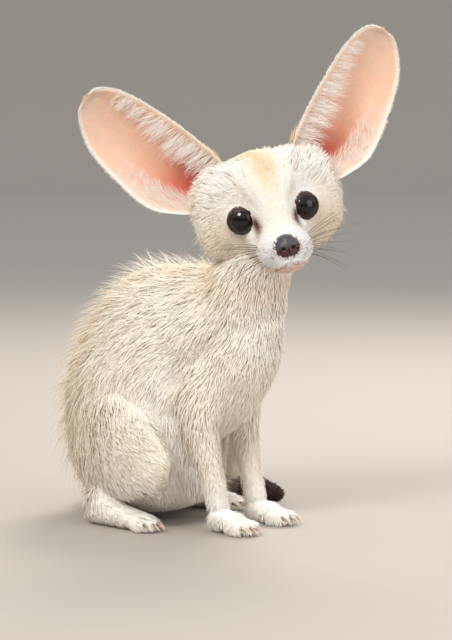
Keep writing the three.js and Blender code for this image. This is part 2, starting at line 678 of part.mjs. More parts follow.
const coat = [...rowsOf(torso, BACK), ...rowsOf(brisket, BIB)];
const trunk = join([neck.solid(), torso.solid(), brisket.solid(), ...coat]).subtract(
  join([headInBody, earsInBody, tailGrown, ...legsGrown]),
);
fennec.add(mesh("neck", trunk.intersect(halfSpace(1)), CREAM));
fennec.add(mesh("torso", onFloor(trunk.intersect(halfSpace(-1))), CREAM));

// The origin is the middle of the bottom of the box round the whole animal.
fennec.updateMatrixWorld(true);
const around = new THREE.Box3().setFromObject(fennec, true);
const middle = around.getCenter(vec(0, 0, 0));
fennec.position.set(-middle.x, -middle.y, -around.min.z);

export default fennec;
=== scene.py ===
import bpy
import numpy as np
from mathutils import Matrix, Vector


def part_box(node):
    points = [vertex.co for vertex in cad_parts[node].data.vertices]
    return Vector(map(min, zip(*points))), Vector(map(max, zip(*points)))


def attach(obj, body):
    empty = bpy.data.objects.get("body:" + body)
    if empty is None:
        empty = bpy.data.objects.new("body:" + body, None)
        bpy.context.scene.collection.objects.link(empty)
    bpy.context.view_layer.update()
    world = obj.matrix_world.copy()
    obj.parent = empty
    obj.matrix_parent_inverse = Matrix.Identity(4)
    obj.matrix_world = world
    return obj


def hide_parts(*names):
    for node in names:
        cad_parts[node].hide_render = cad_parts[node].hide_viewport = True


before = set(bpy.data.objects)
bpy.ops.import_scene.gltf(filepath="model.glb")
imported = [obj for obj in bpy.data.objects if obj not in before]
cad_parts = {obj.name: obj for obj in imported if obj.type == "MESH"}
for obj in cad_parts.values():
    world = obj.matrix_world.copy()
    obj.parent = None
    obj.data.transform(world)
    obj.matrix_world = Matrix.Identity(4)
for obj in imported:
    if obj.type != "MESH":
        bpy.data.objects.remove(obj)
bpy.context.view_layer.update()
rng = np.random.default_rng(7)
MM = 0.001

# ---- The body's forms ----
# The animal under its coat: skull, neck, trunk, four legs and tail, each a form drawn round a line
# of stations. They repeat the sizes of the solids and are what the skin and the coat follow.

EYES_AT = np.array([50.0, -14.0, 141.0])
HEAD_TURN = (-47.0, 7.0, 13.0)  # yaw, pitch, roll in degrees
EYE_RADIUS = 7.2
EYE_SPREAD = 13.2
EYE_DEPTH = 6.6
EYE_OUTWARD = 14.0


def matrix_of(yaw, pitch, roll):
    """Rotation that rolls about x, then pitches about y, then yaws about z, in degrees."""
    angles = np.radians((yaw, pitch, roll))
    cy, cp, cr = np.cos(angles)
    sy, sp, sr = np.sin(angles)
    about_z = np.array([[cy, -sy, 0], [sy, cy, 0], [0, 0, 1]])
    about_y = np.array([[cp, 0, sp], [0, 1, 0], [-sp, 0, cp]])
    about_x = np.array([[1, 0, 0], [0, cr, -sr], [0, sr, cr]])
    return about_z @ about_y @ about_x


HEAD_MATRIX = matrix_of(*HEAD_TURN)


def head_to_body(points):
    """Head coordinates (from midway between the corneas) to the body's, by rotation and shift."""
    return points @ HEAD_MATRIX.T + EYES_AT


def body_to_head(points):
    """The inverse of head_to_body."""
    return (points - EYES_AT) @ HEAD_MATRIX


def through(points, t):
    """Uniform Catmull-Rom curve through the points, at t from 0 to 1, ends reflected."""
    points = np.asarray(points, float)
    padded = np.vstack([2 * points[0] - points[1], points, 2 * points[-1] - points[-2]])
    place = np.clip(np.asarray(t, float), 0, 1) * (len(points) - 1)
    index = np.minimum(place.astype(int), len(points) - 2)
    w = (place - index)[..., None]
    p0, p1, p2, p3 = (padded[index + k] for k in range(4))
    t0, t1 = 0.5 * (p2 - p0), 0.5 * (p3 - p1)
    return (2 * p1 - 2 * p2 + t0 + t1) * w**3 + (-3 * p1 + 3 * p2 - 2 * t0 - t1) * w**2 + t0 * w + p1


def unit(v):
    """Vectors divided by their length."""
    return v / np.maximum(np.linalg.norm(v, axis=-1, keepdims=True), 1e-9)


def smooth(x, low, high):
    """Hermite step from 0 at low to 1 at high."""
    s = np.clip((x - low) / (high - low), 0, 1)
    return s * s * (3 - 2 * s)


# Stations: x, y, z, half width, height over the line, depth under it, depth of the coat there.
HEAD_FORM = np.array([
    [-44, 0, 2, 17, 16, 16, 4.0],
    [-34, 0, 2, 28, 25, 24, 4.0],
    [-22, 0, 1, 33.5, 27.5, 27, 4.0],
    [-12, 0, -0.5, 31.8, 26.2, 26, 3.6],
    [-6, 0, -2.5, 26.4, 21, 23, 2.6],
    [-1, 0, -5.4, 19.6, 15.8, 19.5, 1.8],
    [4, 0, -8.4, 14.2, 12, 15.8, 1.3],
    [9, 0, -10.4, 11.8, 9.6, 13.6, 1.0],
    [14, 0, -11.8, 11, 8.3, 12, 0.8],
    [18.5, 0, -12.6, 9.4, 7, 10.2, 0.6],
    [21.5, 0, -13, 7.2, 5.6, 7.8, 0.5],
])
NECK_TOP = head_to_body(np.array([-24.0, 0, -6]))
NECK_FORM = np.array([
    [*NECK_TOP, 22, 19, 19, 4.5],
    [30, 0, 116, 20.5, 21, 19, 4.5],
    [26, 0, 102, 22, 26, 20, 4.5],
    [20, 0, 90, 22, 25, 18, 4.5],
])
TORSO_FORM = np.array([
    [25, 0, 97, 21, 23, 19, 4.5],
    [8, 0, 92, 27, 31, 26, 6.0],
    [-11, 0, 80, 32, 43, 33, 6.5],
    [-22, 0, 61, 35.5, 48.5, 37, 6.5],
    [-25, 0, 39, 37, 46.5, 37, 6.0],
    [-23, 0, 20, 35, 40, 33, 5.0],
])
BRISKET_FORM = np.array([
    [25, 0, 98, 20, 20, 21, 4.5],
    [22, 0, 80, 21, 24, 22, 4.5],
    [14, 0, 64, 20, 24, 20, 4.0],
    [4, 0, 50, 18, 18, 15, 3.5],
])
TAIL_FORM = np.array([
    [-57, 0, 14, 6.4, 6.4, 6.4, 1.8],
    [-67, 13, 11, 7.6, 7.6, 7.8, 2.4],
    [-70, 32, 9.2, 8.8, 8.8, 9.2, 3.2],
    [-58, 51, 9, 9.2, 9.2, 9.4, 3.6],
    [-38, 59, 8.6, 8.8, 8.8, 9, 3.6],
    [-16, 60, 7.4, 7.2, 7.2, 7.8, 3.0],
    [2, 57, 5.4, 4.4, 4.4, 5.2, 1.8],
])
LEG_FORMS = {
    "foreleg": np.array([
        [20, 12, 80, 10.5, 16, 13, 6.5],
        [13, 16, 58, 9.8, 14, 12, 3.6],
        [14, 16, 41, 7.6, 9.6, 8.4, 2.0],
        [18, 15, 24, 6.2, 6.6, 6.4, 1.5],
        [20.5, 14.5, 12, 6, 6, 6, 1.2],
    ]),
    "hindleg": np.array([
        [-41, 17, 46, 14, 26, 27, 4.5],
        [-29, 25, 40, 14, 27, 32, 4.5],
        [-12, 30, 33, 11.5, 21, 25, 4.0],
        [0, 31, 27, 8.5, 13, 15, 3.0],
    ]),
}
# Paw: length, half width, height, heel height, toe radius, fan, place x and y, turn in degrees.
PAWS = {
    "foreleg": dict(length=13, wide=6.6, tall=5.6, heel=5.6, toe=3.5, fan=3.3, at=(20.5, 14.5), turn=4),
    "hindleg": dict(length=30, wide=6.4, tall=5.8, heel=12, toe=3.4, fan=3.1, at=(-36, 30), turn=6),
}
TOES = 4
SOLE_CUT = 0.6

# Swellings and hollows of the face: place, reach, push; then the pinch of the bridge.
HEAD_SWELLS = [
    ((3, 8.5, -2), 4.5, (-2.2, -1.4, 0)),
    ((-13, 31, -11), 12, (0.5, 2, -1.5)),
    ((13, 9.5, -14.5), 5.5, (0.5, 1.6, 0)),
]


def eye_centre(side):
    """Middle of an eyeball in head coordinates."""
    return np.array([-EYE_DEPTH, side * EYE_SPREAD, 0])


def eye_axis(side):
    """The way an eye looks, in head coordinates."""
    outward = np.radians(EYE_OUTWARD)
    return np.array([np.cos(outward), side * np.sin(outward), 0])


def sculpt_face(points):
    """Pinches the bridge, adds the swellings, and draws the skin round each eye in to the eyeball."""
    p = points.copy()
    pinch = 0.42 * np.exp(-(((p[..., 0] - 3) / 7) ** 2)) * smooth(p[..., 2], -12, -3)
    p[..., 1] *= 1 - pinch
    for side in (1, -1):
        for at, reach, push in HEAD_SWELLS:
            gap = p - np.array([at[0], side * at[1], at[2]])
            share = np.exp(-(gap**2).sum(-1) / reach**2)[..., None]
            p = p + share * np.array([push[0], side * push[1], push[2]])
        ray = p - eye_centre(side)
        far = np.linalg.norm(ray, axis=-1)
        turn = np.degrees(np.arccos(np.clip(ray @ eye_axis(side) / np.maximum(far, 1e-6), -1, 1)))
        share = (1 - smooth(turn, 64, 102)) * (1 - smooth(far, 12, 16)) * smooth(side * p[..., 1], 2.5, 5.5)
        new = far + (EYE_RADIUS - 0.5 - far) * share
        p = eye_centre(side) + ray * (new / np.maximum(far, 1e-6))[..., None]
    return p


def mirrored(form, side):
    """Stations of a limb on the left or right side."""
    out = form.astype(float).copy()
    out[:, 1] *= side
    return out


# Each form: name, stations, the way its upper side faces, and its two domes.
FORMS = [("head", HEAD_FORM, (0, 0, 1), (8, 2.2)), ("neck", NECK_FORM, (-1, 0, 0.3), (6, 10)),
         ("torso", TORSO_FORM, (-1, 0, 0.4), (8, 21.5)), ("brisket", BRISKET_FORM, (-1, 0, 0.2), (8, 8)),
         ("tail", TAIL_FORM, (0, 0, 1), (6, 6))]
for word, side in (("left", 1), ("right", -1)):
    FORMS.append((f"foreleg_{word}", mirrored(LEG_FORMS["foreleg"], side), (-1, 0, 0.2), (6, 4)))
    FORMS.append((f"hindleg_{word}", mirrored(LEG_FORMS["hindleg"], side), (0, 0, 1), (10, 7)))


def frames(stations, above, t):
    """Centre, forward, upward and sideward directions and sizes of a form at each t."""
    centre = through(stations[:, :3], t)
    ahead = unit(through(stations[:, :3], t + 1e-3) - through(stations[:, :3], t - 1e-3))
    up = unit(np.asarray(above, float))
    over = unit(up - (ahead @ up)[..., None] * ahead)
    return centre, ahead, over, np.cross(over, ahead), through(stations[:, 3:], t)


def loft(stations, above, domes, rings=48, around=56):
    """Closed rings of a form with domed ends, shrunk by the coat's depth."""
    steps = 8
    turns = np.linspace(0, 0.5 * np.pi, steps + 1)[1:]
    t = np.concatenate([np.zeros(steps), np.linspace(0, 1, rings), np.ones(steps)])
    slide = np.concatenate([-(np.sin(turns[::-1]) * domes[0]), np.zeros(rings), np.sin(turns) * domes[1]])
    shrink = np.concatenate([np.cos(turns[::-1]), np.ones(rings), np.cos(turns)])
    centre, ahead, over, side, size = frames(stations, above, t)
    coat = size[:, 3]
    slide = slide - np.sign(slide) * coat * np.abs(slide) / max(max(domes), 1)
    angle = np.linspace(0, 2 * np.pi, around, endpoint=False)
    tall = np.where(np.sin(angle) > 0, size[:, 1:2], size[:, 2:3]) - coat[:, None]
    wide = size[:, 0:1] - coat[:, None]
    shrink = np.maximum(shrink, 0.02)[:, None]
    grid = (centre + ahead * slide[:, None])[:, None]
    grid = grid + side[:, None] * (wide * shrink * np.cos(angle))[..., None]
    return grid + over[:, None] * (tall * shrink * np.sin(angle))[..., None]


def quads_of(rings, around):
    """Corner numbers of the quads between neighbouring rings that close on themselves."""
    i, j = np.meshgrid(np.arange(rings - 1), np.arange(around), indexing="ij")
    k = (j + 1) % around
    corners = [i * around + j, i * around + k, (i + 1) * around + k, (i + 1) * around + j]
    return np.stack(corners, -1).reshape(-1, 4)


def make_mesh(name, points, quads, caps=()):
    """A mesh object from points in millimetres, quads, and closing polygons."""
    mesh = bpy.data.meshes.new(name)
    faces = [tuple(q) for q in quads.tolist()] + [tuple(c) for c in caps]
    mesh.from_pydata((points * MM).tolist(), [], faces)
    mesh.validate()
    mesh.shade_smooth()
    piece = bpy.data.objects.new(name, mesh)
    bpy.context.scene.collection.objects.link(piece)
    return piece


def loft_points(grid):
    """Points, quads and end caps of a grid of rings, with faces pointing out."""
    rings, around = grid.shape[:2]
    points = grid.reshape(-1, 3)
    quads = quads_of(rings, around)
    caps = [list(range(around))[::-1], [(rings - 1) * around + j for j in range(around)]]
    a, b, c, d = (points[quads[:, k]] for k in range(4))
    volume = ((a + c) * np.cross(b - a, d - a)).sum()
    if volume < 0:
        quads = quads[:, ::-1]
        caps = [c[::-1] for c in caps]
    return points, quads, caps


def sphere_grid(rings=24, around=32):
    """Unit ball as rings about x, nearly closed at its ends."""
    polar = np.linspace(0.04, np.pi - 0.04, rings)[:, None]
    turn = np.linspace(0, 2 * np.pi, around, endpoint=False)[None]
    ball = [-np.cos(polar) + 0 * turn, np.sin(polar) * np.cos(turn), np.sin(polar) * np.sin(turn)]
    return np.stack(ball, -1)


# The row's origin is the middle of the box's bottom; the shift comes from where the eyes are.
eye_boxes = [np.mean(np.array(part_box(f"eye_{word}")), axis=0) / MM for word in ("left", "right")]
eyes_here = np.mean([head_to_body(eye_centre(side)) for side in (1, -1)], axis=0)
SHIFT = np.mean(eye_boxes, axis=0) - eyes_here


# ---- Skin ----
# One soft skin over skull, neck, trunk, legs and tail, lying under the coat by the coat's depth.
# The forms are joined, remeshed into one surface and smoothed, so that no seam shows.

pieces = []
for name, stations, above, domes in FORMS:
    grid = loft(stations, above, domes)
    if name == "head":
        grid = head_to_body(sculpt_face(grid))
    pieces.append(make_mesh(f"form_{name}", *loft_points(grid + SHIFT)))


def paw_places(kind, side):
    """Rotation and place of a paw, then the middles of its toes in the paw's own frame."""
    paw = PAWS[kind]
    turn = matrix_of(side * paw["turn"], 0, 0)
    at = np.array([paw["at"][0], side * paw["at"][1], 0.0])
    across = (np.arange(TOES) - (TOES - 1) / 2) * paw["fan"]
    reach = paw["length"] + 2.4 * (np.abs(across) < paw["fan"])
    toes = np.stack([reach, across, np.full(TOES, paw["toe"] - SOLE_CUT)], -1)
    return turn, at, toes


for kind, paw in PAWS.items():
    foot = np.array([
        [0, 0, paw["tall"] + 1, paw["wide"] - 0.6, paw["heel"], paw["tall"] + 1.6, 1.0],
        [paw["length"] * 0.5, 0, paw["tall"], paw["wide"], paw["tall"] - 0.6, paw["tall"] + 0.4, 0.8],
        [paw["length"], 0, paw["tall"] - 1.6, paw["wide"] - 0.4, paw["tall"] - 2.2, 4.4, 0.6],
    ])
    for word, side in (("left", 1), ("right", -1)):
        turn, at, toes = paw_places(kind, side)
        grid = loft(foot, (0, 0, 1), (5, 3), rings=24, around=32)
        pieces.append(make_mesh(f"foot_{kind}_{word}", *loft_points(grid @ turn.T + at + SHIFT)))
        for i, toe in enumerate(toes):
            ball = sphere_grid() * (np.array([1.45, 0.62, 1.0]) * paw["toe"] - 0.35) + toe
            pieces.append(make_mesh(f"toe_{kind}_{word}_{i}", *loft_points(ball @ turn.T + at + SHIFT)))


def fused(pieces, name, voxel, rounds):
    """Joins closed meshes, remeshes them as one surface in voxels of the size, and smooths it."""
    bpy.ops.object.select_all(action="DESELECT")
    for piece in pieces:
        piece.select_set(True)
    bpy.context.view_layer.objects.active = pieces[0]
    bpy.ops.object.join()
    whole = bpy.context.view_layer.objects.active
    for kind, settings in (("REMESH", dict(mode="VOXEL", voxel_size=voxel * MM)),
                           ("SMOOTH", dict(factor=0.6, iterations=rounds))):
        step = whole.modifiers.new(kind.lower(), kind)
        for key, value in settings.items():
            setattr(step, key, value)
        bpy.ops.object.modifier_apply(modifier=step.name)
    whole.name = whole.data.name = name
    return whole


skin = fused(pieces, "skin", voxel=0.85, rounds=5)


def read_points(mesh):
    """Vertex positions of a mesh in millimetres of the body's frame."""
    flat = np.empty(len(mesh.vertices) * 3)
    mesh.vertices.foreach_get("co", flat)
    return flat.reshape(-1, 3) / MM - SHIFT


def write_points(mesh, points):
    """The inverse of read_points."""
    mesh.vertices.foreach_set("co", ((points + SHIFT) * MM).ravel())
    mesh.update()


def read_normals(mesh):
    """Smooth vertex normals."""
    flat = np.empty(len(mesh.vertices) * 3)
    mesh.vertices.foreach_get("normal", flat)
    return flat.reshape(-1, 3)


def mouth_path(samples=160):
    """Head coordinates of the line of the mouth, from the left corner round the lips to the right."""
    share = np.linspace(0, 1, 7)
    t = 0.63 + (0.985 - 0.63) * share
    angle = np.radians(-42 - 5 * share - 6 * np.sin(3 * share))
    centre, _, over, side, size = frames(HEAD_FORM, (0, 0, 1), t)
    half = []
    for turn in (angle, np.pi - angle):
        tall = np.where(np.sin(turn) > 0, size[:, 1], size[:, 2])
        rim = side * (size[:, 0] * np.cos(turn))[:, None] + over * (tall * np.sin(turn))[:, None]
        half.append(sculpt_face(centre + rim))
    tip = np.array([[23.4, 0, -17.4]])
    return through(np.vstack([half[0], tip, half[1][::-1]]), np.linspace(0, 1, samples))


def near_path(points, path):
    """Distance from each point to the nearest point of a path, in slices to spare memory."""
    out = np.empty(len(points))
    for start in range(0, len(points), 20000):
        part = points[start:start + 20000]
        out[start:start + 20000] = np.sqrt(((part[:, None] - path[None]) ** 2).sum(-1).min(1))
    return out


# The joins of neck, trunk and limbs are smoothed further; the face and the feet keep their shape.
p = read_points(skin.data)
h = body_to_head(p)
away = smooth(np.linalg.norm(h - np.array([-4.0, 0, -6]), axis=1), 30, 44)
group = skin.vertex_groups.new(name="joins")
weight = away * smooth(p[:, 2], 16, 34)
LEVELS = 5
for level in range(1, LEVELS + 1):
    group.add(np.flatnonzero(np.ceil(weight * LEVELS) == level).tolist(), level / LEVELS, "REPLACE")
step = skin.modifiers.new("joins", "SMOOTH")
step.factor, step.iterations, step.vertex_group = 0.7, 40, "joins"
bpy.context.view_layer.objects.active = skin
bpy.ops.object.modifier_apply(modifier=step.name)
skin.vertex_groups.clear()

# The lips: a groove between two low rolls; a cleft from the nose down to it; soles flat on the floor.
p, n = read_points(skin.data), read_normals(skin.data)
h = body_to_head(p)
MOUTH = mouth_path()
FAR_OFF = 99.0
jaw = (h[:, 0] > -2) & (np.abs(h[:, 1]) < 18) & (h[:, 2] < 0)
gap = np.full(len(p), FAR_OFF)
gap[jaw] = near_path(h[jaw], MOUTH)
groove = -0.9 * np.exp(-((gap / 0.55) ** 2)) + 0.45 * np.exp(-(((gap - 1.3) / 0.8) ** 2))
cleft = -0.5 * np.exp(-((h[:, 1] / 0.5) ** 2)) * (h[:, 0] > 19)
cleft = cleft * smooth(-h[:, 2], 13, 15) * (1 - smooth(-h[:, 2], 17, 18))
p = p + n * (groove + cleft)[:, None]
p[:, 2] = np.maximum(p[:, 2], 0.0)
write_points(skin.data, p)

# The unwrap of the skin's own shape. Every tuft takes the place of its root on it.
bpy.ops.object.select_all(action="DESELECT")
skin.select_set(True)
bpy.context.view_layer.objects.active = skin
skin.data.uv_layers.new(name="OFBake")
bpy.ops.object.mode_set(mode="EDIT")
bpy.ops.mesh.select_all(action="SELECT")
bpy.ops.uv.smart_project(angle_limit=np.radians(60), island_margin=0.003)
bpy.ops.object.mode_set(mode="OBJECT")


def along_forms(points):
    """For each point and form: how far out it lies in units of the form's size, and its place t.

    The distance is the least, over the form's line, of the length of the offset divided by the
    half width sideways, by the height or depth upward, and by ten millimetres forward.
    """
    out = np.empty((len(points), len(FORMS)))
    place = np.empty((len(points), len(FORMS)))
    marks = np.linspace(0, 1, 30)
    for k, (name, stations, above, _) in enumerate(FORMS):
        base = body_to_head(points) if name == "head" else points
        centre, ahead, over, side, size = frames(stations, above, marks)
        best = np.full(len(points), 1e9)
        for m, mark in enumerate(marks):
            gap = base - centre[m]
            up = gap @ over[m]
            tall = np.where(up > 0, size[m, 1], size[m, 2])
            far = (gap @ side[m] / size[m, 0]) ** 2 + (up / tall) ** 2 + (gap @ ahead[m] / 10) ** 2
            closer = far < best
            best = np.where(closer, far, best)
            place[closer, k] = mark
        out[:, k] = np.sqrt(best)
    return out, place


EAR_ROOT = np.array([-21.0, 27, 17])
EAR_SPLAY, EAR_LEAN, EAR_TURN, EAR_THICK = 42.0, 6.0, 14.0, 1.8


def near_ear(h):
    """Share from 1 within 13 mm of an ear's foot to 0 at 25 mm from it, in head coordinates."""
    gap = np.column_stack([h[:, 0], np.abs(h[:, 1]), h[:, 2]]) - EAR_ROOT
    return 1 - smooth(np.linalg.norm(gap, axis=1), 13, 25)


def lay_of(points, normals):
    """Direction of the coat: along each nearby form, backwards on the head, flattened to the skin."""
    far, place = along_forms(points)
    share = np.exp(-4 * (far - far.min(1, keepdims=True)))
    share /= share.sum(1, keepdims=True)
    flow = np.zeros_like(points)
    for k, (name, stations, above, _) in enumerate(FORMS):
        _, ahead, _, _, _ = frames(stations, above, place[:, k])
        if name == "head":
            face = -ahead @ HEAD_MATRIX.T
            flow += share[:, k:k + 1] * face
        else:
            flow += share[:, k:k + 1] * ahead
    h = body_to_head(points)
    parting = np.stack([np.zeros(len(h)), np.sign(h[:, 1]), np.zeros(len(h))], -1) @ HEAD_MATRIX.T
    on_head = share[:, :1] * smooth(h[:, 0], -30, 5)[:, None] * smooth(np.abs(h[:, 1]), 1, 8)[:, None]
    flow = flow + 0.35 * on_head * parting
    lean, splay = np.radians(EAR_LEAN), np.radians(EAR_SPLAY)
    up_ear = np.column_stack([np.full(len(h), -np.sin(lean)), np.sign(h[:, 1]) * np.sin(splay),
                              np.full(len(h), np.cos(splay))]) @ HEAD_MATRIX.T
    nape = share[:, 0] * smooth(-h[:, 0], 4, 22)
    flow = flow * (1 - 0.85 * nape[:, None]) + 1.2 * nape[:, None] * np.array([0.1, -0.1, -1.0])
    above = smooth(h[:, 2], 2, 14) * near_ear(h)
    flow = flow + 1.6 * share[:, :1] * above[:, None] * up_ear
    flow = flow - (flow * normals).sum(1, keepdims=True) * normals
    return unit(flow), share, place


def linear(srgb):
    """Colours of 0 to 255 as linear light."""
    c = np.asarray(srgb, float) / 255
    return np.where(c <= 0.04045, c / 12.92, ((c + 0.055) / 1.055) ** 2.4)


CREAM, WHITE = linear((250, 243, 228)), linear((252, 250, 247))
BUFF, STRIPE = linear((244, 230, 204)), linear((232, 203, 155))
CHEEK, THROAT = linear((246, 226, 204)), linear((238, 208, 180))
BACK_BROWN, EYE_CORNER = linear((206, 172, 128)), linear((112, 58, 42))
BROW, MUZZLE, LIP = linear((190, 158, 122)), linear((240, 240, 244)), linear((170, 96, 78))
CHIN = linear((232, 192, 164))
TAIL_TIP, TAIL_PATCH, BELLY = linear((74, 55, 42)), linear((130, 102, 76)), linear((250, 245, 236))
NOSE_TOP, NOSE_LOW = linear((72, 68, 74)), linear((74, 32, 29))


def markings(points, normals, share, place):
    """Colour of the coat at each point in linear light, mixed in order from the markings."""
    h = body_to_head(points)
    facing = normals @ HEAD_MATRIX
    head, tail = share[:, 0], share[:, 4]
    trunk = share[:, 1] + share[:, 2]
    legs = share[:, 5:].sum(1)
    tone = np.tile(CREAM, (len(points), 1))

    def mix(colour, amount):
        nonlocal tone
        tone = tone + (colour - tone) * np.clip(amount, 0, 1)[:, None]

    mix(BUFF, 0.75 * trunk * smooth(-normals[:, 0] + 0.25 * normals[:, 2], 0.1, 0.8))
    mix(BELLY, trunk * smooth(normals[:, 0] - 0.2 * normals[:, 2], 0.1, 0.7))
    mix(BUFF, 0.25 * legs)
    mix(WHITE, legs * (1 - smooth(points[:, 2], 12, 30)) * 0.7)
    mix(BUFF, head * smooth(facing[:, 2], 0.1, 0.8) * (1 - smooth(h[:, 0], -24, -6)) * 0.7)
    mix(STRIPE, head * (1 - smooth(np.abs(h[:, 1]), 1, 8)) * smooth(facing[:, 2], -0.1, 0.7)
        * smooth(h[:, 0], -38, -22) * (1 - smooth(h[:, 0], -6, 16)) * 0.8)
    mix(CHEEK, head * (1 - smooth(facing[:, 2], -0.2, 0.3)) * smooth(np.abs(h[:, 1]), 12, 20)
        * smooth(h[:, 0], -26, -14) * 0.75)
    mix(WHITE, head * 0.9 * (np.exp(-(((h[:, 0] + 10) / 12) ** 2 + ((np.abs(h[:, 1]) - 15) / 10) ** 2
                                      + ((h[:, 2] - 12) / 9) ** 2))))
    mix(WHITE, head * smooth(h[:, 0], -10, 6) * (1 - smooth(facing[:, 2], 0.2, 0.9)) * 0.5)
    mix(MUZZLE, head * smooth(h[:, 0], 9, 17) * 0.6)
    speck = np.sin(7.1 * h[:, 0] + 3 * h[:, 2]) * np.sin(6.3 * h[:, 2] + 1.7) * np.sin(5.2 * h[:, 1])
    pad = smooth(h[:, 0], 8, 12) * smooth(-h[:, 2], 9, 11) * (1 - smooth(-h[:, 2], 15.5, 17))
    pad = pad * smooth(np.abs(h[:, 1]), 4, 6)
    mix(BROW * 0.5, head * pad * smooth(speck, 0.25, 0.5) * 0.8)
    chin = smooth(-h[:, 2], 17, 19) * smooth(h[:, 0], 2, 12)
    mix(CHIN, head * chin * 0.7)
    mix(THROAT, (head + share[:, 1]) * smooth(-h[:, 2], 18, 30) * (1 - smooth(h[:, 0], 6, 14))
        * smooth(points[:, 2], 96, 116) * 0.55)
    for side in (1, -1):
        corner = h - np.array([2.6, side * 7.8, -2.8])
        mix(EYE_CORNER, 1.2 * head * np.exp(-((corner[:, 0] / 5.0) ** 2 + (corner[:, 1] / 3.4) ** 2
                                              + ((corner[:, 2] + 0.5 * corner[:, 0]) / 3.0) ** 2)))
        canthus = h - np.array([0.4, side * 8.4, -1.6])
        mix(EYE_CORNER * 0.35, head * np.exp(-((canthus**2).sum(1) / 2.2**2)))
        brow = h - np.array([-7, side * 10, 13])
        line = np.abs(brow[:, 1] * side - 0.45 * brow[:, 2] - 1)
        mix(BROW, head * 0.22 * (1 - smooth(line, 0.6, 1.6)) * (1 - smooth(np.abs(brow[:, 2]), 5, 8))
            * smooth(h[:, 0], -18, -10))
    patch = (1 - smooth(np.abs(place[:, 4] - 0.2), 0.03, 0.08)) * smooth(normals[:, 2], 0.4, 0.9)
    mix(TAIL_PATCH, tail * patch * 0.5)
    mix(BUFF, 0.5 * tail * smooth(normals[:, 2], -0.2, 0.6))
    mix(TAIL_TIP, tail * smooth(place[:, 4], 0.74, 0.82))
    return tone


def put_colour(mesh, tone):
    """Stores a linear colour for each vertex as the attribute tone."""
    layer = mesh.color_attributes.new(name="tone", type="FLOAT_COLOR", domain="POINT")
    layer.data.foreach_set("color", np.column_stack([tone, np.ones(len(tone))]).astype(np.float32).ravel())


p, n = read_points(skin.data), read_normals(skin.data)
_, share, place = lay_of(p, n)
tone = markings(p, n, share, place)
h = body_to_head(p)
mouth = np.full(len(p), FAR_OFF)
near = (h[:, 0] > -4) & (np.abs(h[:, 1]) < 18) & (h[:, 2] < 0) & (share[:, 0] > 0.4)
mouth[near] = near_path(h[near], MOUTH)
tone = tone + (LIP * 0.5 - tone) * np.exp(-((mouth / 0.9) ** 2))[:, None]
beside_nose = np.linalg.norm((h - np.array([21.0, 0, -10.0])) / np.array([4.6, 5.9, 5.1]), axis=1)
tone = tone + (NOSE_LOW * 1.6 - tone) * ((1 - smooth(beside_nose, 1.0, 1.25)) * (h[:, 0] > 10))[:, None]
put_colour(skin.data, tone)


def shader(name, roughness, specular=0.5, sheen=0.0, subsurface=0.0):
    """A node material with a Principled surface; returns it with its tree and surface node."""
    made = bpy.data.materials.new(name)
    made.use_nodes = True
    tree = made.node_tree
    surface = tree.nodes["Principled BSDF"]
    surface.inputs["Roughness"].default_value = roughness
    surface.inputs["Specular IOR Level"].default_value = specular
    surface.inputs["Sheen Weight"].default_value = sheen
    surface.inputs["Subsurface Weight"].default_value = subsurface
    surface.inputs["Subsurface Radius"].default_value = (0.004, 0.0016, 0.001)
    surface.inputs["Subsurface Scale"].default_value = 1.0
    return made, tree, surface


def object_noise(tree, scale, detail=4.0):
    """Noise over the Object coordinates; scale is in waves to the metre."""
    where = tree.nodes.new("ShaderNodeTexCoord")
    noise = tree.nodes.new("ShaderNodeTexNoise")
    noise.inputs["Scale"].default_value = scale
    noise.inputs["Detail"].default_value = detail
    tree.links.new(where.outputs["Object"], noise.inputs["Vector"])
    return noise


def toned(tree, surface, scale, low=0.82, high=1.1):
    """Base colour from the attribute tone, made darker and lighter by a fine noise."""
    colour = tree.nodes.new("ShaderNodeAttribute")
    colour.attribute_name = "tone"
    noise = object_noise(tree, scale)
    span = tree.nodes.new("ShaderNodeMapRange")
    span.inputs["To Min"].default_value = low
    span.inputs["To Max"].default_value = high
    scaled = tree.nodes.new("ShaderNodeVectorMath")
    scaled.operation = "SCALE"
    tree.links.new(noise.outputs["Fac"], span.inputs["Value"])
    tree.links.new(colour.outputs["Color"], scaled.inputs[0])
    tree.links.new(span.outputs["Result"], scaled.inputs["Scale"])
    tree.links.new(scaled.outputs["Vector"], surface.inputs["Base Color"])


def bumped(tree, surface, source, strength, depth):
    """Bump from a value output; depth is in metres."""
    bump = tree.nodes.new("ShaderNodeBump")
    bump.inputs["Strength"].default_value = strength
    bump.inputs["Distance"].default_value = depth
    tree.links.new(source, bump.inputs["Height"])
    tree.links.new(bump.outputs["Normal"], surface.inputs["Normal"])


def finish(piece, slot, roughness, grain, relief, name=None, span=(0.82, 1.1), **look):
    """Dresses a piece that rides the body in its own material; slot is not used.

    Grain is the scale of the noise in its colour, which runs over span; relief is the scale,
    strength and depth of its bump; look goes to the shader.
    """
    made, tree, surface = shader(name or piece.name, roughness, **look)
    toned(tree, surface, grain, *span)
    scale, strength, depth = relief
    bumped(tree, surface, object_noise(tree, scale).outputs["Fac"], strength, depth)
    piece.data.materials.append(made)
    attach(piece, "root")
    return surface


finish(skin, "coat", 0.75, 700, (1600, 0.6, 0.0004), "skin_down", specular=0.25, subsurface=0.15)
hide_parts("head", "neck", "torso", "tail_root", "tail_middle", "tail_tip", "foreleg_left",
            "foreleg_right", "hindleg_left", "hindleg_right")

# ---- Eyes ----
# Wet, very dark eyeballs. The iris is a narrow brown ring round a wide pupil, and the glossy bulge of
# the cornea over it gives a sharp highlight.
PUPIL, WHITE_OF_EYE = linear((7, 4, 4)), linear((60, 42, 36))


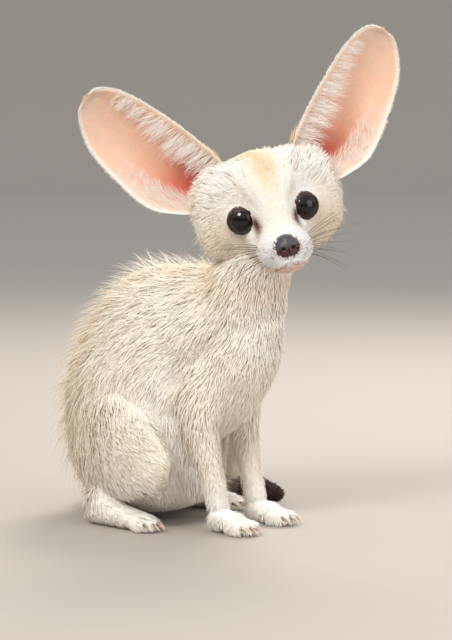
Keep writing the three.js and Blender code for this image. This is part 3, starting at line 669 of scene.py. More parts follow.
def eye_to_body(local, side, sense=1):
    """Points about an eye, x along the way it looks, in the body's frame; sense turns y about."""
    axis = eye_axis(side)
    across = np.array([-axis[1], axis[0], 0]) * sense
    world = local[..., :1] * axis + local[..., 1:2] * across + local[..., 2:] * np.array([0, 0, 1.0])
    return head_to_body(world + eye_centre(side)) + SHIFT


for word, side in (("left", 1), ("right", -1)):
    ball = sphere_grid(56, 72)[::-1]
    bulge = 1 + 0.035 * np.exp(-((np.degrees(np.arccos(ball[..., :1])) / 36) ** 2))
    eye = make_mesh(f"eyeball_{word}", *loft_points(eye_to_body(EYE_RADIUS * ball * bulge, side)))
    turn = np.degrees(np.arccos(np.clip(ball[..., 0], -1, 1))).ravel()
    swirl = np.arctan2(ball[..., 2], ball[..., 1]).ravel()
    fibre = 1 + 0.25 * np.sin(23 * swirl + 2 * np.sin(7 * swirl))
    iris = (smooth(turn, 22, 50) * fibre)[:, None]
    tone = PUPIL + iris * (linear((66, 34, 19)) - PUPIL)
    tone = tone + smooth(turn, 58, 66)[:, None] * (WHITE_OF_EYE - tone)
    put_colour(eye.data, tone)
    finish(eye, "eye", 0.05, 500, (250, 0.03, 0.0002), f"eye_{word}", (0.9, 1.1), specular=0.42)
    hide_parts(f"eye_{word}")

# ---- Lids ----
# A rounded rim of bare dark skin round each eye, with a drawn-out inner corner, and the fold of the
# upper lid over it. The rim presses on the eyeball and its outer side runs in under the face.
LID_HALF = (47.0, 37.0)  # half angles of the opening, across and up, in degrees
LID_SKIN, RIM_SKIN = linear((200, 160, 138)), linear((30, 17, 14))
# Across the rim: degrees beyond the opening, and distance from the eyeball's middle.
LID_RIM = np.array([
    [-0.5, 7.28], [0.3, 7.5], [1.5, 7.68], [3.5, 7.76], [5.5, 7.7], [7, 7.74], [9, 7.6],
    [11.5, 7.25], [14, 6.8], [16, 6.4], [11, 6.3], [6, 6.5], [2, 6.9],
])
for word, side in (("left", 1), ("right", -1)):
    turn = np.linspace(0, 2 * np.pi, 120, endpoint=False)
    nose_side = np.maximum(0, -np.cos(turn)) ** 5
    reach_y = LID_HALF[0] * np.cos(turn) - 13 * nose_side
    reach_z = LID_HALF[1] * np.sin(turn) - 7 * nose_side
    open_at = np.hypot(reach_y, reach_z)
    way = np.stack([reach_y, reach_z], -1) / open_at[:, None]
    fold = np.zeros((len(turn), len(LID_RIM)))
    fold[:, 4:7] = np.array([-0.16, 0.14, 0.2]) * smooth(np.sin(turn), 0, 0.6)[:, None]
    angle = np.radians(open_at[:, None] + LID_RIM[:, 0])
    far = LID_RIM[:, 1] + fold
    out = far * np.sin(angle)
    local = np.stack([far * np.cos(angle), out * way[:, :1], out * way[:, 1:]], -1)
    points = eye_to_body(local, side, sense=side).reshape(-1, 3)
    count = len(LID_RIM)
    i, j = np.meshgrid(np.arange(len(turn)), np.arange(count), indexing="ij")
    k, m = (i + 1) % len(turn), (j + 1) % count
    quads = np.stack([i * count + j, k * count + j, k * count + m, i * count + m], -1).reshape(-1, 4)
    if side < 0:
        quads = quads[:, ::-1]
    lid = make_mesh(f"lids_{word}", points, quads)
    bare = 1 - smooth(np.tile(LID_RIM[:, 0], len(turn)), 8, 16)
    put_colour(lid.data, LID_SKIN + bare[:, None] * (RIM_SKIN - LID_SKIN))
    finish(lid, "nose_skin", 0.42, 1500, (2600, 0.5, 0.0002), subsurface=0.1)

# ---- Nose leather ----
# Bare pebbled skin, dark grey above and browner below, with two comma-shaped nostrils that open to
# the front and sides and a cleft between them. It sits in the front of the muzzle.
NOSE_AT, NOSE_BACK_AT = np.array([21.6, 0, -10.3]), np.array([19.4, 0, -8])
balls = []
for at, size, tilt in ((NOSE_AT, (3.6, 5.0, 4.2), 0), (NOSE_BACK_AT, (4.6, 3.6, 3.0), -0.25)):
    grid = sphere_grid(40, 48) * np.array(size)
    lean = np.array([[np.cos(tilt), 0, np.sin(tilt)], [0, 1, 0], [-np.sin(tilt), 0, np.cos(tilt)]])
    balls.append(make_mesh("nose_part", *loft_points(head_to_body(grid @ lean.T + at) + SHIFT)))
nose = fused(balls, "nose", voxel=0.22, rounds=8)
h = body_to_head(read_points(nose.data))
push = np.zeros_like(h)
# Share of the painted shade in the nostrils, gathered below.
inside = np.zeros(len(h))
for side in (1, -1):
    hole = h - np.array([24.6, side * 2.1, -10.2])
    share = np.exp(-((hole[:, 0] / 2.2) ** 2 + (hole[:, 1] / 0.8) ** 2 + (hole[:, 2] / 0.7) ** 2))
    slit = h - np.array([24.0, side * 3.7, -11.2])
    lean = slit[:, 2] + 0.35 * side * slit[:, 1]
    comma = np.exp(-((slit[:, 0] / 2.4) ** 2 + (slit[:, 1] / 1.3) ** 2 + (lean / 0.42) ** 2))
    push[:, 0] -= 1.3 * share + 0.5 * comma
    push[:, 1] -= side * 0.3 * comma
    wing = h - np.array([24.2, side * 2.9, -9.0])
    push[:, 0] += 0.35 * np.exp(-(wing**2).sum(1) / 1.4)
    inside = np.maximum(inside, np.maximum(share, 0.9 * comma))
cleft = np.exp(-((h[:, 1] / 0.32) ** 2)) * smooth(h[:, 0], 22, 24) * (1 - smooth(h[:, 2], -10.5, -9.5))
push[:, 0] -= 0.4 * cleft
write_points(nose.data, head_to_body(h + push))
tone = NOSE_TOP + smooth(-h[:, 2], 8.5, 11.5)[:, None] * (NOSE_LOW - NOSE_TOP)
# The nostrils and the cleft are darkened: painted shade in these hollows.
tone = tone * (1 - 0.85 * np.clip(inside + 0.7 * cleft, 0, 1))[:, None]
put_colour(nose.data, tone)
made, tree, surface = shader("nose_leather", 0.36, specular=0.5)
toned(tree, surface, 1400)
cells = tree.nodes.new("ShaderNodeTexVoronoi")
cells.inputs["Scale"].default_value = 1700
where = tree.nodes.new("ShaderNodeTexCoord")
tree.links.new(where.outputs["Object"], cells.inputs["Vector"])
bumped(tree, surface, cells.outputs["Distance"], 0.5, 0.00022)
nose.data.materials.append(made)
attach(nose, "root")
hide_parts("nose_leather")

# ---- Ears ----
# Thin deep cups of warm skin. The orange glow in the depth of the inside, where light shines through,
# is painted into the colour, darker red deepest in the cup as painted shade; the edge is rolled and
# pale. Each grows out of the top of the skull.
# Stations: height up the ear, place of the crown's edge and of the outer edge, depth of the cup.
EAR_STATIONS = np.array([
    [-9, -10.5, 11, 9],
    [0, -14, 17.5, 12],
    [9, -15, 22, 12.5],
    [18, -15.6, 22.6, 11.5],
    [29, -15.6, 21, 9.5],
    [40, -15, 18.6, 7],
    [49, -13.6, 15, 4.6],
    [55.5, -11.2, 10, 2.6],
    [59.5, -8, 5.4, 1.2],
    [61, -4.4, 1.6, 0.4],
])
EAR_ROWS, EAR_COLUMNS = 110, 57


def ear_to_head(local, side):
    """Ear coordinates (depth, outwards, along) to the head's: turn, lean, splay, then shift."""
    lean, splay = np.radians(EAR_LEAN), -side * np.radians(EAR_SPLAY)
    about_z = matrix_of(side * EAR_TURN, 0, 0)
    about_y = np.array([[np.cos(lean), 0, -np.sin(lean)], [0, 1, 0], [np.sin(lean), 0, np.cos(lean)]])
    about_x = np.array([[1, 0, 0], [0, np.cos(splay), -np.sin(splay)], [0, np.sin(splay), np.cos(splay)]])
    return local @ (about_x @ about_y @ about_z).T + EAR_ROOT * np.array([1, side, 1])


def ear_sheet(side, t, s, offset=0.0):
    """Middle of the ear's sheet at t up the ear and s from the crown's edge (-1) to the rear (1)."""
    along, inner, outer, cup = np.moveaxis(through(EAR_STATIONS, t), -1, 0)
    across = (outer + inner) / 2 + (outer - inner) / 2 * s
    depth = -cup * (1 - np.abs(s) ** 2.2) + offset
    fold = 0.9 * np.exp(-(((s - 0.62) / 0.1) ** 2)) * smooth(t, 0.1, 0.2) * (1 - smooth(t, 0.4, 0.6))
    return np.stack([depth + fold, side * across, along], -1)


def ear_unwrap(t, s, inside):
    """Place on the ear's unwrap: its inside on the left half, its back on the right."""
    return np.column_stack([0.02 + 0.45 * (s + 1) / 2 + 0.5 * (1 - inside), 0.02 + 0.96 * t])


for word, side in (("left", 1), ("right", -1)):
    across = np.sin(np.linspace(-0.5 * np.pi, 0.5 * np.pi, EAR_COLUMNS))
    t, s = np.meshgrid(np.linspace(0, 1, EAR_ROWS), across, indexing="ij")
    edge = np.sqrt(np.maximum(1 - s**8, 0.1))
    thick = EAR_THICK * (1.35 - 0.75 * t) * edge * 0.8
    front = ear_sheet(side, t, s, 0.5 * thick)
    back = ear_sheet(side, t, s, -0.5 * thick)[:, ::-1]
    grid = head_to_body(ear_to_head(np.concatenate([front, back], 1), side))
    ear = make_mesh(f"ear_shell_{word}", *loft_points(grid + SHIFT))
    up = np.concatenate([t, t], 1).ravel()
    over = np.concatenate([s, s[:, ::-1]], 1).ravel()
    within = np.concatenate([np.ones_like(t), np.zeros_like(t)], 1).ravel()
    # Painted glow and shade: the inside turns orange, then darker red, towards the foot and middle of the
    # cup.
    glow_and_shade = (1 - smooth(up, 0.1, 0.52)) * (1 - smooth(np.abs(over - 0.1), 0.25, 0.85))
    edge_share = smooth(np.abs(over), 0.86, 1.0)
    tone = np.tile(linear((246, 204, 178)), (len(up), 1))
    for colour, amount in (((232, 136, 104), glow_and_shade * 0.8), ((198, 60, 46), glow_and_shade**4 * 0.85),
                           ((250, 218, 200), smooth(up, 0.7, 1) * 0.6), ((252, 240, 230), edge_share)):
        tone = tone + (linear(colour) - tone) * (amount * within)[:, None]
    tone = tone + (linear((244, 224, 194)) - tone) * (1 - within)[:, None]
    put_colour(ear.data, tone)
    finish(ear, "ear_skin", 0.55, 260, (900, 0.35, 0.0003), f"ear_skin_{word}", (0.9, 1.06),
           specular=0.35, subsurface=0.35)
    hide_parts(f"ear_{word}")
    ear.data.uv_layers.new(name="OFBake")
    loops = np.empty(len(ear.data.loops), int)
    ear.data.loops.foreach_get("vertex_index", loops)
    flat = ear_unwrap(up, over, within)
    ear.data.uv_layers["OFBake"].data.foreach_set("uv", flat[loops].ravel())

# ---- Claws ----
# Small curved cones of horn, one to a toe, darker towards the root. Each is set in the front of its
# toe and points forwards and down, clear of the floor.
CLAW_LENGTH, CLAW_HALF, CLAW_POINT, CLAW_DROP = 4.6, 0.75, 0.14, 2.07
HORN, HORN_TIP = linear((122, 92, 72)), linear((222, 204, 182))
share = np.linspace(0, 1, 16)[:, None]
angle = np.linspace(0, 2 * np.pi, 20, endpoint=False)[None]
radius = CLAW_HALF + (CLAW_POINT - CLAW_HALF) * share
arc = np.concatenate([CLAW_LENGTH * share, 0 * share, -CLAW_DROP * share**2], 1)
ring = np.stack([0 * radius * angle, radius * np.cos(angle), 1.25 * radius * np.sin(angle)], -1)
horn = HORN + np.repeat(share, 20, 1).ravel()[:, None] * (HORN_TIP - HORN)
for kind, node in (("foreleg", "front"), ("hindleg", "hind")):
    for word, side in (("left", 1), ("right", -1)):
        turn, at, toes = paw_places(kind, side)
        for i, toe in enumerate(toes):
            root = toe + np.array([PAWS[kind]["toe"] * 1.1, 0, 0.9])
            grid = (root + arc[:, None] + ring) @ turn.T + at
            claw = make_mesh(f"nail_{node}_{word}_{i + 1}", *loft_points(grid + SHIFT))
            put_colour(claw.data, horn)
            finish(claw, "claw", 0.35, 800, (2000, 0.2, 0.0001), subsurface=0.2)
            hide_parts(f"claw_{node}_{word}_{i + 1}")

# ---- Coat ----
# Soft dense hair in flat tapered tufts that grow out of the skin and lie along the body, one over the
# other: shortest on the face and the feet, woolly on the back and rump, longest on the tail.

PATCH = 0.003  # length of a tuft's patch on the unwrap
FLOOR_CLEAR = 0.05  # mm between the lowest hair and the floor


def hair_mesh(name, roots, normals, lays, length, wide, lift, curl, colours, uv, rings=2, sink=0.5, soft=0.6):
    """Closed three-sided tufts as one mesh.

    Each runs from a root sunk under the skin, leaves it at the angle lift and bends back along the
    lay: at the share m of its length L it is L sin(lift) (m - 0.28 m^2) off the skin and
    L (cos(lift) m + 0.2 sin(lift) m^2) along it, and curl times L m^2 to the side. A tip closes it,
    and its root has a cap. Colours are given for the root and for the tip, and each tuft's patch on
    the unwrap is 0.003 long. As dense hair is, it is lit by the share soft as the skin under it
    faces, but for its underside.
    """
    count = len(roots)
    marks = np.linspace(0, 1, rings + 1)
    lays = unit(lays - (lays * normals).sum(1, keepdims=True) * normals)
    across = np.cross(normals, lays)
    rise, run = np.sin(lift), np.cos(lift)
    points, tones, patch = [], [], []
    for mark in marks:
        up = length * (rise * mark - 0.28 * rise * mark**2)
        out = length * (run * mark + 0.2 * rise * mark**2)
        aside = length * curl * mark**2
        centre = roots + normals * (up - sink * (mark == 0))[:, None] + lays * out[:, None]
        centre = centre + across * aside[:, None]
        tone = colours[0] + (colours[1] - colours[0]) * mark
        if mark == 1:
            points.append(centre[:, None])
            tones.append(tone[:, None])
            patch.append((uv + np.array([0, PATCH / 2]))[:, None])
            continue
        half = wide * (0.75 + 0.6 * mark - 1.1 * mark**2)
        above = normals * np.cos(lift)[:, None] - lays * rise[:, None]
        corners = [-across * half[:, None], across * half[:, None], above * (0.55 * half)[:, None]]
        points.append(centre[:, None] + np.stack(corners, 1))
        tones.append(np.repeat(tone[:, None], 3, 1))
        side = np.array([[-0.0012, 0], [0.0012, 0], [0, 0.0004]]) + np.array([0, PATCH * (mark - 0.5)])
        patch.append(uv[:, None] + side)
    points, tones, patch = (np.concatenate(part, 1) for part in (points, tones, patch))
    points[..., 2] = np.maximum(points[..., 2], FLOOR_CLEAR)
    faces = [[0, 2, 1]]
    for ring in range(rings):
        base = 3 * ring
        for a, b in ((0, 1), (1, 2), (2, 0)):
            if ring == rings - 1:
                faces.append([base + a, base + b, 3 * rings])
            else:
                faces += [[base + a, base + b, base + 3 + b], [base + a, base + 3 + b, base + 3 + a]]
    faces = np.array(faces)
    size = 3 * rings + 1
    trial = points[0]
    a, b, c = (trial[faces[:, k]] for k in range(3))
    if (a * np.cross(b, c)).sum() < 0:
        faces = faces[:, ::-1]
    corners = (faces[None] + size * np.arange(count)[:, None, None]).reshape(-1)
    mesh = bpy.data.meshes.new(name)
    mesh.vertices.add(count * size)
    mesh.vertices.foreach_set("co", ((points.reshape(-1, 3) + SHIFT) * MM).ravel())
    mesh.loops.add(len(corners))
    mesh.loops.foreach_set("vertex_index", corners)
    mesh.polygons.add(len(corners) // 3)
    mesh.polygons.foreach_set("loop_start", np.arange(0, len(corners), 3))
    mesh.polygons.foreach_set("loop_total", np.full(len(corners) // 3, 3))
    mesh.update(calc_edges=True)
    mesh.shade_smooth()
    middle = points[:, : 3 * rings].reshape(count, rings, 3, 3).mean(2)
    own = [points[:, 3 * k: 3 * k + 3] - middle[:, k:k + 1] for k in range(rings)]
    own = np.concatenate([*own, normals[:, None]], 1)
    a, b, c = (points[:, faces[:, k]] for k in range(3))
    flat = unit(np.cross(b - a, c - a))
    blend = unit((1 - soft) * unit(own)[:, faces] + soft * normals[:, None, None])
    under = (flat * normals[:, None]).sum(-1) < 0.12
    mesh.normals_split_custom_set(np.where(under[..., None, None], flat[:, :, None], blend).reshape(-1, 3))
    mesh.uv_layers.new(name="OFBake")
    mesh.uv_layers["OFBake"].data.foreach_set("uv", patch.reshape(-1, 2)[corners].ravel())
    put_colour(mesh, tones.reshape(-1, 3))
    piece = bpy.data.objects.new(name, mesh)
    bpy.context.scene.collection.objects.link(piece)
    return piece


def coat_finish(piece, slot="coat"):
    """Soft matt hair: colour from the attribute with a fine noise along it, and a little sheen."""
    surface = finish(piece, slot, 0.62, 520, (3000, 0.3, 0.0001), span=(0.88, 1.08),
                     specular=0.25, sheen=0.12)
    surface.inputs["Sheen Roughness"].default_value = 0.5


mesh = skin.data
mesh.calc_loop_triangles()
corners = np.empty(len(mesh.loop_triangles) * 3, int)
mesh.loop_triangles.foreach_get("vertices", corners)
corners = corners.reshape(-1, 3)
loops = np.empty(len(mesh.loop_triangles) * 3, int)
mesh.loop_triangles.foreach_get("loops", loops)
unwrap = np.empty(len(mesh.loops) * 2)
mesh.uv_layers["OFBake"].data.foreach_get("uv", unwrap)
unwrap = unwrap.reshape(-1, 2)[loops.reshape(-1, 3)]
p, n = read_points(mesh), read_normals(mesh)
tri = p[corners]
area = 0.5 * np.linalg.norm(np.cross(tri[:, 1] - tri[:, 0], tri[:, 2] - tri[:, 0]), axis=1)
middle = tri.mean(1)
_, share, place = lay_of(middle, unit(n[corners].mean(1)))
h = body_to_head(middle)


def grow(chance, count):
    """Roots drawn on the skin, more where area times chance is more: points, normals, unwrap."""
    chance = np.maximum(chance, 0) * area
    pick = rng.choice(len(area), size=count, p=chance / chance.sum())
    pick.sort()
    r = rng.random((count, 2))
    r = np.where(r.sum(1, keepdims=True) > 1, 1 - r, r)
    weight = np.column_stack([1 - r.sum(1), r])[:, :, None]
    return ((p[corners[pick]] * weight).sum(1), unit((n[corners[pick]] * weight).sum(1)),
            (unwrap[pick] * weight).sum(1))


def clear_of_face(roots):
    """1 where hair may grow; 0 on the lids, the nose leather and the line of the mouth."""
    h = body_to_head(roots)
    keep = np.ones(len(roots))
    for side in (1, -1):
        ray = h - eye_centre(side)
        way = unit(ray)
        turn = np.degrees(np.arccos(np.clip(way @ eye_axis(side), -1, 1)))
        opening = 53 + 12 * np.maximum(0, -side * way[:, 1]) ** 2 - 8 * np.abs(way[:, 2])
        keep *= (np.linalg.norm(ray, axis=1) > 12) | (turn > opening)
    lower = (h[:, 0] > -4) & (np.abs(h[:, 1]) < 18) & (h[:, 2] < 0)
    keep[lower] *= near_path(h[lower], MOUTH) > 0.75
    inside = (((h - NOSE_AT) / np.array([4.6, 4.9, 4.1])) ** 2).sum(1) > 1
    inside &= (((h - NOSE_BACK_AT) / np.array([4.6, 3.5, 3.0])) ** 2).sum(1) > 1
    return keep * inside


def face_depth(roots):
    """Share from 0 at the nose and round the eyes to 1 on the crown and cheeks."""
    h = body_to_head(roots)
    eye = np.minimum(*(np.linalg.norm(h - eye_centre(side), axis=1) for side in (1, -1)))
    return (1 - smooth(h[:, 0], -20, 8)) * smooth(eye, 8, 20)


# Length of the hair in millimetres, region by region.
FACE_HAIR, CROWN_HAIR, RUFF_HAIR, EAR_FOOT_HAIR = 1.7, 7.2, 2.5, 5.0
NECK_HAIR, TRUNK_HAIR, CHEST_HAIR = 8.5, 12.5, 8.5
TAIL_HAIR, BRUSH_HAIR = 9.0, 14.0
THIGH_HAIR, FORELEG_HAIR, FOOT_HAIR = 10.0, 7.0, 3.2


def length_of(roots, share, place):
    """Length of the coat in millimetres at each root, by region and by place along it."""
    head = FACE_HAIR + (CROWN_HAIR - FACE_HAIR) * face_depth(roots)
    h = body_to_head(roots)
    ruff = smooth(-h[:, 0], 14, 24) * smooth(np.abs(h[:, 1]), 16, 26) * (1 - smooth(h[:, 2], -6, 6))
    head = head + RUFF_HAIR * ruff + EAR_FOOT_HAIR * near_ear(h) * smooth(h[:, 2], 0, 14)
    head = head * (1 - 0.5 * smooth(-h[:, 0], 16, 30))
    kinds = [head] + [np.full(len(roots), hair) for hair in (NECK_HAIR, TRUNK_HAIR, CHEST_HAIR)]
    kinds.append(TAIL_HAIR + (BRUSH_HAIR - TAIL_HAIR) * np.sin(np.pi * np.clip(place[:, 4] + 0.1, 0, 1)))
    for k in range(5, len(FORMS)):
        top = THIGH_HAIR if FORMS[k][0].startswith("hind") else FORELEG_HAIR
        kinds.append(top - (top - FOOT_HAIR) * smooth(place[:, k], 0.1, 0.85))
    length = (share * np.stack(kinds, 1)).sum(1)
    return np.minimum(length, 2.2 + 0.28 * roots[:, 2])


def coat_piece(name, chance, count, wide, lift, rings=2, longer=1.0, shade=(0.93, 1.03), spread=0.13):
    """One piece of the coat, grown by chance, with its lay, colours and random variation.

    Wide is half a tuft's width in millimetres and lift its angle off the skin in degrees; shade
    is the factor on the colour at root and tip, and spread how far tufts stray from the lay.
    """
    roots, normals, uv = grow(chance, count)
    keep = (clear_of_face(roots) > 0.5) & ~((roots[:, 2] < 0.8) & (normals[:, 2] < -0.3))
    roots, normals, uv = roots[keep], normals[keep], uv[keep]
    lays, share, place = lay_of(roots, normals)
    wander = 2.2 * np.sin(roots @ np.array([0.19, -0.33, 0.11]))
    clump = np.sin(roots @ np.array([0.31, 0.23, 0.27]) + wander)
    jitter = rng.normal(size=(len(roots), 3)) * spread
    jitter += 0.1 * clump[:, None] * np.cross(normals, lays)
    length = longer * length_of(roots, share, place) * rng.uniform(0.7, 1.15, len(roots))
    angle = np.radians(lift) * rng.uniform(0.75, 1.3, len(roots)) * (1 + 0.12 * clump)
    h = body_to_head(roots)
    angle = angle * (1 - 0.7 * share[:, 0] * smooth(-h[:, 0], 12, 24))
    by_ear = near_ear(h) * smooth(h[:, 2], 8, 16) * (1 - smooth(-h[:, 0], 22, 28))
    angle = angle * (1 + 0.6 * share[:, 0] * by_ear)
    tone = markings(roots, normals, share, place)
    tone = tone * rng.uniform(0.9, 1.07, (len(roots), 1))
    back = (share[:, 1] + share[:, 2]) * smooth(-normals[:, 0] + 0.3 * normals[:, 2], 0.1, 0.7)
    tip = tone * shade[1]
    tip = tip + (BACK_BROWN - tip) * (back * rng.uniform(0, 0.75, len(roots)))[:, None]
    half = wide * rng.uniform(0.8, 1.2, len(roots)) * (0.55 + 0.45 * np.clip(length / 8, 0, 1.2))
    curl = rng.normal(size=len(roots)) * 0.13
    colours = (tone * shade[0], tip)
    piece = hair_mesh(name, roots, normals, lays + jitter, length, half, angle, curl, colours, uv, rings)
    coat_finish(piece, "tail_dark" if name == "coat_tail_tip" else "coat")


on_head, on_tail = share[:, 0] > 0.5, share[:, 4] > 0.5
on_trunk = share[:, 1] + share[:, 2] + share[:, 3] > 0.5
on_legs = ~on_head & ~on_tail & ~on_trunk
face = on_head & (h[:, 0] > -9)
muzzle = face * (1 + 1.4 * smooth(h[:, 0], 0, 10))
coat_piece("coat_face", muzzle, 15500, 0.2, 22)
coat_piece("coat_crown", on_head & ~face & (h[:, 2] > 2), 13500, 0.32, 22)
coat_piece("coat_cheeks", on_head & ~face & (h[:, 2] <= 2), 13000, 0.34, 22)
low, lower = middle[:, 2] < 82, middle[:, 2] < 48
coat_piece("coat_shoulders", on_trunk & ~low, 17000, 0.42, 17)
coat_piece("coat_flanks", on_trunk & low & ~lower, 16000, 0.45, 18)
coat_piece("coat_rump", on_trunk & lower, 13500, 0.48, 18)
coat_piece("coat_legs_left", on_legs & (middle[:, 1] > 0), 8000, 0.4, 16)
coat_piece("coat_legs_right", on_legs & (middle[:, 1] <= 0), 8000, 0.4, 16)
dark = place[:, 4] > 0.78
coat_piece("coat_tail", on_tail & ~dark, 7500, 0.36, 34, rings=3)
coat_piece("coat_tail_tip", on_tail & dark, 3000, 0.36, 32, rings=3)

# ---- Guard hairs ----
# Long single hairs that stand out of the wool on the back, rump, ruff and tail, rooted in the skin
# as the wool is. They fray the outline.
loose = (share[:, 1] + share[:, 2]) * smooth(-unit(n[corners].mean(1))[:, 0], -0.3, 0.3)
loose = loose + 0.8 * on_tail + 0.7 * (on_head & ~face & (h[:, 2] < -2)) * smooth(np.abs(h[:, 1]), 14, 24)
coat_piece("coat_guard", loose, 4500, 0.16, 40, rings=3, longer=1.45, shade=(0.98, 1.02), spread=0.3)

# ---- Fur of the ears ----
# Long white hairs grow from the crown's edge of each ear over its opening, shorter ones from the foot
# of the outer edge; the rim has a pale fringe, and the back a short close coat.
FRINGE, FRINGE_OUTER, DOWN = linear((255, 249, 243)), linear((255, 247, 240)), linear((250, 224, 208))
RIM, EAR_BACK = linear((253, 246, 236)), linear((244, 222, 186))
for word, side in (("left", 1), ("right", -1)):

    def ear_roots(count, t_span, s_span, offset, gather=0.0):
        """Roots on the ear's sheet, with the directions up the ear, outwards over it and out of it.

        Gather draws them together in small groups up the ear.
        """
        t, s = rng.uniform(*t_span, count), rng.uniform(*s_span, count)
        t = t + gather * (np.sin(150 * t) / 150 + np.sin(64 * t) / 64)
        at = ear_sheet(side, t, s, offset)
        up = unit(ear_sheet(side, t + 0.01, s, offset) - ear_sheet(side, t - 0.01, s, offset))
        over = unit(ear_sheet(side, t, s + 0.01, offset) - ear_sheet(side, t, s - 0.01, offset))
        out = np.cross(over, up)
        return t, s, at, up, over, unit(out * np.sign(out[:, :1]))

    def ear_hair(name, at, normal, lay, length, wide, lift, tones, uv, rings=3, sink=0.4, soft=0.6):
        """Tufts whose roots, normals and lays are given in the ear's own coordinates."""
        base = ear_to_head(np.zeros((1, 3)), side)
        world = head_to_body(ear_to_head(at, side))
        out, along = (unit((ear_to_head(v, side) - base) @ HEAD_MATRIX.T) for v in (normal, lay))
        wide = np.full(len(at), wide)
        lift = np.radians(rng.uniform(*lift, len(at)))
        curl = rng.normal(size=len(at)) * 0.12
        coat_finish(
            hair_mesh(name, world, out, along, length, wide, lift, curl, tones, uv, rings, sink, soft))

    # The fringe: from the crown's edge, in wavy groups across the opening and a little upwards.
    outwards, facing = np.array([0.0, side, 0.0]), np.array([1.0, 0.0, 0.0])
    count = 950
    t, s, at, up, over, out = ear_roots(count, (0.06, 0.7), (-0.97, -0.6), 0.0, gather=0.35)
    lean = 0.3 + 0.22 * np.sin(53 * t + 2 * np.sin(31 * t)) + rng.normal(0, 0.16, count)
    lay = unit(outwards + up * lean[:, None])
    size = rng.uniform(4, 14, count) * (1 - 0.65 * smooth(t, 0.3, 0.7))
    pale = FRINGE * rng.uniform(0.96, 1.06, (count, 1))
    ear_hair(f"fringe_{word}", at, np.tile(facing, (count, 1)), lay, size, 0.1, (0, 14), (pale, pale),
             ear_unwrap(t, s, 1))
    # The same from the outer edge, low down, upwards and inwards.
    count = 620
    t, s, at, up, over, out = ear_roots(count, (0.03, 0.46), (0.6, 0.96), 0.0, gather=0.6)
    lay = unit(up * rng.uniform(0.7, 1.1, (count, 1)) - outwards * rng.uniform(0.2, 0.8, (count, 1)))
    pale = FRINGE_OUTER * rng.uniform(0.96, 1.05, (count, 1))
    size = rng.uniform(4, 9, count) * (1 - 0.5 * smooth(t, 0.25, 0.46))
    ear_hair(f"fringe_outer_{word}", at, np.tile(facing, (count, 1)), lay, size, 0.11, (2, 20), (pale, pale),
             ear_unwrap(t, s, 1))
    # Short down over the rest of the inside, through which the skin shows.
    count = 1800
    t, s, at, up, over, out = ear_roots(count, (0.3, 0.97), (-0.95, 0.95), 0.6)
    lay = unit(up + over * rng.normal(0, 0.35, (count, 1)))
    pale = DOWN * rng.uniform(0.95, 1.05, (count, 1))
    size = rng.uniform(1.2, 2.4, count)
    ear_hair(f"ear_down_{word}", at, out, lay, size, 0.09, (6, 20), (pale, pale), ear_unwrap(t, s, 1), 2, 0.2)
    # The rim's own short fringe, all the way round.
    count = 2000
    t = 0.97 * rng.uniform(0.1, 1.0, count) ** 0.85
    s = rng.choice([-1.0, 1.0], count) * rng.uniform(0.95, 1.0, count)
    at = ear_sheet(side, t, s, 0.0)
    up = unit(ear_sheet(side, t + 0.01, s) - ear_sheet(side, t - 0.01, s))
    lay = unit(up + np.column_stack([np.zeros(count), side * np.sign(s) * 0.5, np.zeros(count)]))
    pale = RIM * rng.uniform(0.92, 1.04, (count, 1))
    size = rng.uniform(1.2, 2.6, count)
    ear_hair(f"rim_{word}", at, np.tile(facing, (count, 1)), lay, size, 0.15, (-20, 25), (pale * 0.95, pale),
             ear_unwrap(t, s, 1), 2, 0.2, soft=0.1)
    # The back, close and buff, longer and paler at the foot.
    count = 4400
    t, s, at, up, over, out = ear_roots(count, (0.0, 0.93), (-0.9, 0.9), -0.6)
    tone = EAR_BACK * rng.uniform(0.9, 1.05, (count, 1))
    size = (2.6 + 5.0 * (1 - smooth(t, 0.05, 0.35))) * rng.uniform(0.8, 1.2, count)
    ear_hair(f"ear_back_{word}", at, -out, up, size, 0.42, (10, 24), (tone * 0.93, tone * 1.02),
             ear_unwrap(t, s, 0), 2, 0.3, soft=0.5)

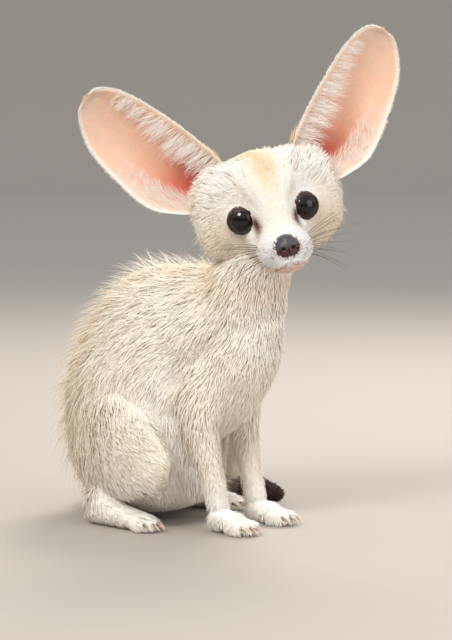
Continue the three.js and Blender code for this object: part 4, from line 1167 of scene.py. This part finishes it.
# ---- Whiskers ----
# Stiff brown hairs, single and tapered, rooted in the skin: four rows on each pad of the muzzle and
# two over each eye.
WHISKER_COLOUR = linear((98, 74, 58))
WHISKER_LENGTH, WHISKER_HALF = (20.0, 34.0), 0.13
WHISKER_RINGS, WHISKER_SIDES = 15, 6
for word, side in (("left", 1), ("right", -1)):
    starts, ways, sizes = [], [], []
    for row, z in enumerate((-11.0, -12.8, -14.6, -16.2)):
        for k in range(4):
            starts.append([16.0 - 2.4 * k, side * (8.4 + 0.7 * k), z + 0.4 * k])
            ways.append([-0.5 - 0.2 * k + 0.4 * rng.random(), side, 0.15 - 0.3 * row + 0.3 * rng.random()])
            sizes.append(rng.uniform(*WHISKER_LENGTH) * (1 - 0.08 * row))
    for k in range(2):
        starts.append([-5, side * (8 + 3 * k), 11.5])
        ways.append([0.25, side * (0.1 + 0.4 * k), 1.0])
        sizes.append(rng.uniform(12, 17))
    starts, ways, sizes = np.array(starts), unit(np.array(ways)), np.array(sizes)[:, None, None]
    bend = np.array([-0.25, 0, -0.18])
    share = np.linspace(0, 1, WHISKER_RINGS)[None, :, None]
    line = starts[:, None] + sizes * (ways[:, None] * share + bend * share**2)
    line = line - 1.2 * ways[:, None] * (share == 0)
    ahead = unit(np.gradient(line, axis=1))
    aside = unit(np.cross(ahead, np.array([0.2, 0.1, 1.0])))
    above = np.cross(aside, ahead)
    angle = np.linspace(0, 2 * np.pi, WHISKER_SIDES, endpoint=False)[:, None]
    radius = WHISKER_HALF * (1 - 0.85 * share[..., None])
    ring = radius * (aside[:, :, None] * np.cos(angle) + above[:, :, None] * np.sin(angle))
    points, quads, caps = [], [], []
    for grid in line[:, :, None] + ring:
        part = loft_points(head_to_body(grid) + SHIFT)
        first = len(points) * WHISKER_RINGS * WHISKER_SIDES
        quads.append(part[1] + first)
        caps += [[v + first for v in cap] for cap in part[2]]
        points.append(part[0])
    whiskers = make_mesh(f"whiskers_{word}", np.concatenate(points), np.concatenate(quads), caps)
    put_colour(whiskers.data, np.tile(WHISKER_COLOUR, (len(whiskers.data.vertices), 1)))
    finish(whiskers, "coat", 0.4, 600, (3000, 0.1, 0.0001))

# ---- Floor, light and camera ----
# A plain pale floor that curves up all round, far off. One large soft light is high on the left of
# the picture, a weaker one on the right, and one behind for the edges of the ears and loose hair.
AZIMUTH, ELEVATION, DISTANCE, VIEW_HEIGHT = np.radians(35.0), np.radians(5.5), 1.0, 0.2752
EYES_IN_VIEW = (20.855, 45.15)  # mm from the picture's middle to midway between the eyes
FLOOR_HALF, FLOOR_BEND, FLOOR_SIDES = 4.0, 1.6, 96
turn = np.linspace(0, 0.5 * np.pi, 24)
out = np.concatenate([[0.02, FLOOR_HALF / 2], FLOOR_HALF + FLOOR_BEND * np.sin(turn)]) / MM
rise = np.concatenate([[0.0, 0.0], FLOOR_BEND - FLOOR_BEND * np.cos(turn)]) / MM
angle = np.linspace(0, 2 * np.pi, FLOOR_SIDES, endpoint=False)
bowl = np.stack([out[:, None] * np.cos(angle), out[:, None] * np.sin(angle), rise[:, None] + 0 * angle], -1)
quads = quads_of(len(out), FLOOR_SIDES)[:, ::-1]
floor = make_mesh("floor", bowl.reshape(-1, 3), quads, [list(range(FLOOR_SIDES))])
made, _, surface = shader("floor", 0.75, specular=0.15)
surface.inputs["Base Color"].default_value = (0.44, 0.4, 0.35, 1)
floor.data.materials.append(made)

world = bpy.data.worlds.new("world")
bpy.context.scene.world = world
world.use_nodes = True
world.node_tree.nodes["Background"].inputs["Color"].default_value = (0.92, 0.95, 1.0, 1)
world.node_tree.nodes["Background"].inputs["Strength"].default_value = 0.8

focus = (EYES_AT + SHIFT) * MM
level = np.array([np.sin(AZIMUTH), -np.cos(AZIMUTH), 0])
toward = level * np.cos(ELEVATION) + np.array([0, 0, np.sin(ELEVATION)])
right = np.array([np.cos(AZIMUTH), np.sin(AZIMUTH), 0])
up = np.cross(toward, right)


def aim(piece, at, target):
    """Puts an object at a place with its -Z axis towards the target and +Y up in the picture."""
    back = unit(np.asarray(at) - np.asarray(target))
    sideways = unit(np.cross([0, 0, 1.0], back))
    above = np.cross(back, sideways)
    matrix = np.eye(4)
    matrix[:3, :3] = np.column_stack([sideways, above, back])
    matrix[:3, 3] = at
    piece.matrix_world = Matrix(matrix.tolist())


for name, where, size, power, tint in (
    ("key", toward * 0.9 - right * 0.5 + up * 0.75, 0.4, 11, (1.0, 0.975, 0.94)),
    ("fill", toward * 0.6 + right * 1.0 + up * 0.3, 0.9, 5, (0.99, 0.98, 0.97)),
    ("behind", -toward * 0.6 + right * 0.2 + up * 0.7, 0.5, 8, (1.0, 0.95, 0.9)),
):
    lamp = bpy.data.lights.new(name, "AREA")
    lamp.size, lamp.energy, lamp.color = size, power, tint
    holder = bpy.data.objects.new(name, lamp)
    bpy.context.scene.collection.objects.link(holder)
    aim(holder, focus + where, focus)

centre = focus - right * EYES_IN_VIEW[0] * MM - up * EYES_IN_VIEW[1] * MM
camera = bpy.data.cameras.new("camera")
camera.sensor_fit = "VERTICAL"
camera.sensor_height = 36
camera.lens = camera.sensor_height * DISTANCE / VIEW_HEIGHT
camera.clip_start = 0.05
holder = bpy.data.objects.new("camera", camera)
bpy.context.scene.collection.objects.link(holder)
aim(holder, centre + toward * DISTANCE, centre)
bpy.context.scene.camera = holder
bpy.context.scene.view_settings.view_transform = "Standard"
